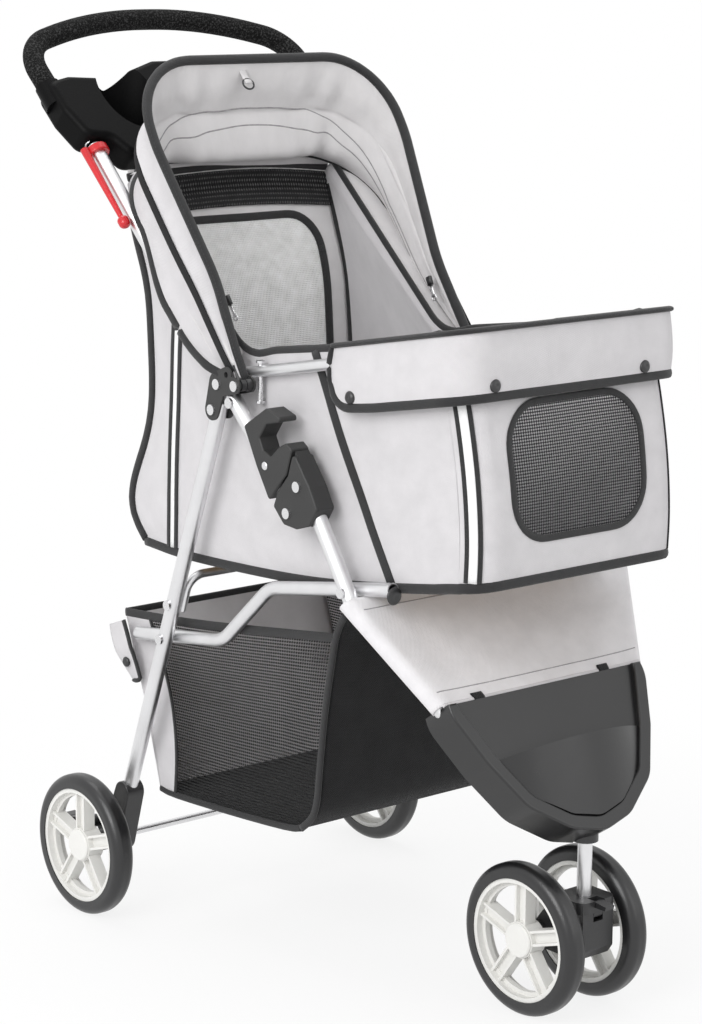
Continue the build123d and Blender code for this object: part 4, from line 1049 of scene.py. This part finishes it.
def basket_side_point(side, yz, lift=0.0):
    """Points on a side of the basket, which sags inward between its edges."""
    y, z = yz[..., 0], yz[..., 1]
    sag = -7.0 * np.sin(pi * rise(z, 141, 200)) * rise(y, -95, 60) * (1 - rise(y, 155, 60))
    return xyz(side * (BASKET_HALF + sag + lift), y, z)


def basket_panel(edge):
    """Panel across the basket, with the outline of its side."""
    return xyz(basket_x, edge[:, :1], edge[:, 1:])


# Basket panels
side_net = coons(foot, brim, rear, front)
basket_sides = []
for side, hand in HANDS:
    basket_sides.append(sheet(f"basket_side_{hand}", basket_side_point(side, side_net), NET_GREY, 0.7))
front_panel = basket_panel(tongue)
front_belly = np.sin(np.linspace(0, pi, len(tongue)))[:, None] * (1 - (basket_x / BASKET_HALF) ** 2)
front_panel[..., 1] -= 4 * front_belly
basket_front = sheet("basket_front", front_panel, BLACK_CLOTH, 1.6)
basket_rear = sheet("basket_rear", basket_panel(rear), GREY, 1.6)
basket_floor = sheet("basket_floor", basket_panel(foot) + (0, 0, 1.5), BLACK_CLOTH, 2.0)

# Basket bands, tabs and tapes
AHEAD = (0, 1, 0)
tab_yz = between(tab_rear, tab_fore, BAND_SHARES)
tab_down = np.linspace(0, 1, 24)[:, None]
tab_stand = 155.6 - 9 * rise(tab_down, 0.45, 1) / 0.55 - 9 * np.abs(BAND_SHARES[None] - 0.6) ** 2.2
basket_bands = []
basket_tabs = []
basket_trim = []
EDGE_TAPES = (
    ("basket_rim_tape", brim, 0.6, UP, oval(9.5, 3.6)),
    ("basket_foot_tape", foot, 0.6, UP, oval(7, 4.6)),
    ("basket_front_tape", tongue, 0.6, AHEAD, oval(8, 4.6)),
    ("basket_band_tape", net_edge, 1.4, AHEAD, oval(4.5, 2.4)),
)
for side, hand in HANDS:
    for name, line, lift, across, profile in EDGE_TAPES:
        line = basket_side_point(side, line, lift)
        basket_trim.append(sweep(f"{name}_{hand}", line, across, profile, TAPE))
    band = basket_side_point(side, between(rear, net_edge, BAND_SHARES), 1.0)
    basket_bands.append(sheet(f"basket_rear_band_{hand}", band, GREY, 1.2))
    tab = xyz(side * tab_stand, tab_yz[..., 0], tab_yz[..., 1])
    basket_tabs.append(sheet(f"basket_tab_{hand}", tab, GREY, 1.4))
    tab_edge = dense(np.vstack([tab[:, -1], tab[-1, ::-1]]), 4.0)
    basket_trim.append(sweep(f"basket_tab_tape_{hand}", tab_edge, AHEAD, oval(6, 3.4), TAPE))
    snap_at = np.multiply(BASKET_SNAP, (side, 1, 1))
    basket_trim.append(dome(f"basket_snap_{hand}", snap_at, (side, 0, 0), 5.4, 3.0, BLOCK_PLASTIC))
tongue_top = basket_panel(tongue)[-1]
basket_trim.append(sweep("basket_tongue_tape", tongue_top, UP, oval(8, 4), TAPE))
rear_top = basket_panel(rear)[-1]
basket_trim.append(sweep("basket_rear_top_tape", rear_top, UP, oval(9, 4), TAPE))


# Rivets of the latch sliders, and caps on the carrier rails' front ends
def rail_tip(name):
    """Middle of a carrier rail's front end."""
    rail = bpy.data.objects[name]
    points = np.array([rail.matrix_world @ corner.co for corner in rail.data.vertices]) / MM
    return points[points[:, 1] < points[:, 1].min() + 0.5].mean(0)


LATCH_RIVET = (173.6, -58, 532.2)
latch_rivets = []
rail_caps = []
for side, hand in HANDS:
    rivet_at = np.multiply(LATCH_RIVET, (side, 1, 1))
    latch_rivets.append(dome(f"latch_rivet_{hand}", rivet_at, (side, 0, 0), 4.2, 1.6, STEEL))
    rail_end = rail_tip(f"carrier_rail_{hand}")
    rail_caps.append(dome(f"rail_cap_{hand}", rail_end, (0, -1, 0), 8.6, 3.0, BLOCK_PLASTIC))

# What rides on what
cabin_pieces = [cabin_wall, front_net, front_tape, cabin_back, back_net, back_tape, pleat_band, cabin_floor]
for piece in [*cabin_pieces, *pleat_trim, *cabin_trim]:
    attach(piece, "carrier")
    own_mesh(piece)
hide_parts("cabin")
for piece in rail_caps:
    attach(piece, "carrier")
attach(latch_rivets[0], "latch_left")
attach(latch_rivets[1], "latch_right")
basket_pieces = [*basket_sides, basket_front, basket_rear, basket_floor, *basket_bands, *basket_tabs]
for piece in [*basket_pieces, *basket_trim]:
    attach(piece, "carrier")
    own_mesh(piece)
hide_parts("basket")
for piece in [flap, *flap_trim]:
    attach(piece, "bumper")
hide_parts("front_flap")
for piece in [hood, hood_lining, *hood_trim]:
    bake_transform(piece)
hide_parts("canopy_hood")
for piece in [hood_binding, edge_cord, hood_tab, hood_ring, *zip_pulls]:
    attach(piece, "canopy_front")
for piece in [mid_sleeve, *hood_zips]:
    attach(piece, "canopy_middle")
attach(rear_binding, "handle_frame")
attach(hood_yoke, "handle_frame")
for piece in [apron, *apron_trim]:
    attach(piece, "front_frame")
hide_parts("apron")


# Studio
scene = bpy.context.scene
scene.view_settings.view_transform = "Standard"
WHITE = (1, 1, 1, 1)


def seen_rays(near):
    """1 for rays from the camera, through glass or off gloss, which see the plain background."""
    rays = node(near, "ShaderNodeLightPath").outputs
    seen = maths("MAXIMUM", rays["Is Camera Ray"], rays["Is Transmission Ray"])
    return maths("MAXIMUM", seen, rays["Is Glossy Ray"])


def mix_shaders(share_of_second, first, second, target):
    mix = node(target, "ShaderNodeMixShader")
    for slot, source in enumerate((share_of_second, first, second)):
        link(source, mix.inputs[slot])
    link(mix.outputs[0], target)


def studio_world():
    """Soft light from all sides, and a plain white background."""
    world = bpy.data.worlds.new("studio")
    scene.world = world
    world.use_nodes = True
    tree = world.node_tree
    tree.nodes.clear()
    soft = node(tree, "ShaderNodeBackground", Color=WHITE, Strength=0.7)
    plain = node(tree, "ShaderNodeBackground", Color=WHITE, Strength=1.0)
    target = node(tree, "ShaderNodeOutputWorld").inputs[0]
    mix_shaders(seen_rays(tree), soft.outputs[0], plain.outputs[0], target)


def studio_floor():
    """Pale floor that keeps the shadow near the stroller and fades to white farther out."""
    reach = 9000
    shadow_share, fade_span = 0.84, (0.35, 1.0)
    mat, bsdf = new_material("studio_floor", (0.86, 0.86, 0.86), 0.9)
    glow = node(bsdf, "ShaderNodeEmission", Strength=1.0)
    distance = node(bsdf, "ShaderNodeVectorMath", operation="LENGTH")
    link(object_coords(bsdf), distance.inputs[0])
    fade = map_range(distance.outputs["Value"], (shadow_share, 1.0), fade_span, "SMOOTHSTEP")
    white = maths("MULTIPLY", seen_rays(bsdf), fade)
    target = mat.node_tree.nodes["Material Output"].inputs[0]
    mix_shaders(white, bsdf.outputs[0], glow.outputs[0], target)
    corners = np.multiply(((-1, -1, 0), (1, -1, 0), (1, 1, 0), (-1, 1, 0)), reach)
    return make("floor", corners, [(0, 1, 2, 3)], mat)


def lamp(name, place, aim, size, power):
    data = bpy.data.lights.new(name, "AREA")
    data.size = size
    data.energy = power
    obj = bpy.data.objects.new(name, data)
    obj.location = place
    obj.rotation_mode = "QUATERNION"
    obj.rotation_quaternion = (Vector(aim) - Vector(place)).to_track_quat("-Z", "Y")
    scene.collection.objects.link(obj)


studio_world()
ground = studio_floor()
lamp("key", place=(-3.1, -0.9, 2.3), aim=(0, 0, 0.5), size=2.2, power=78)
lamp("fill", place=(1.2, -3.0, 1.9), aim=(0, 0, 0.5), size=2.4, power=16)
lamp("top", place=(0.2, 0.8, 3.2), aim=(0, 0, 0.6), size=2.0, power=26)

# Camera, fitted to the photograph: its focal length in pixels of a 1024 pixel frame, and its place
FOCAL = 2763.22
FRAME_HEIGHT = 1024
SENSOR = 36
AZIMUTH, ELEVATION, ROLL = radians(-40.31), radians(11.39), radians(0.24)
EYE = (-1.8547, -2.1724, 1.0298)


def photo_camera():
    data = bpy.data.cameras.new("camera")
    data.sensor_fit = "AUTO"
    data.sensor_width = SENSOR
    data.lens = FOCAL / FRAME_HEIGHT * SENSOR
    data.clip_end = 50
    obj = bpy.data.objects.new("camera", data)
    scene.collection.objects.link(obj)
    aim = Matrix.Rotation(AZIMUTH, 4, "Z") @ Matrix.Rotation(pi / 2 - ELEVATION, 4, "X")
    obj.matrix_world = Matrix.Translation(EYE) @ aim @ Matrix.Rotation(ROLL, 4, "Z")
    return obj


scene.camera = photo_camera()
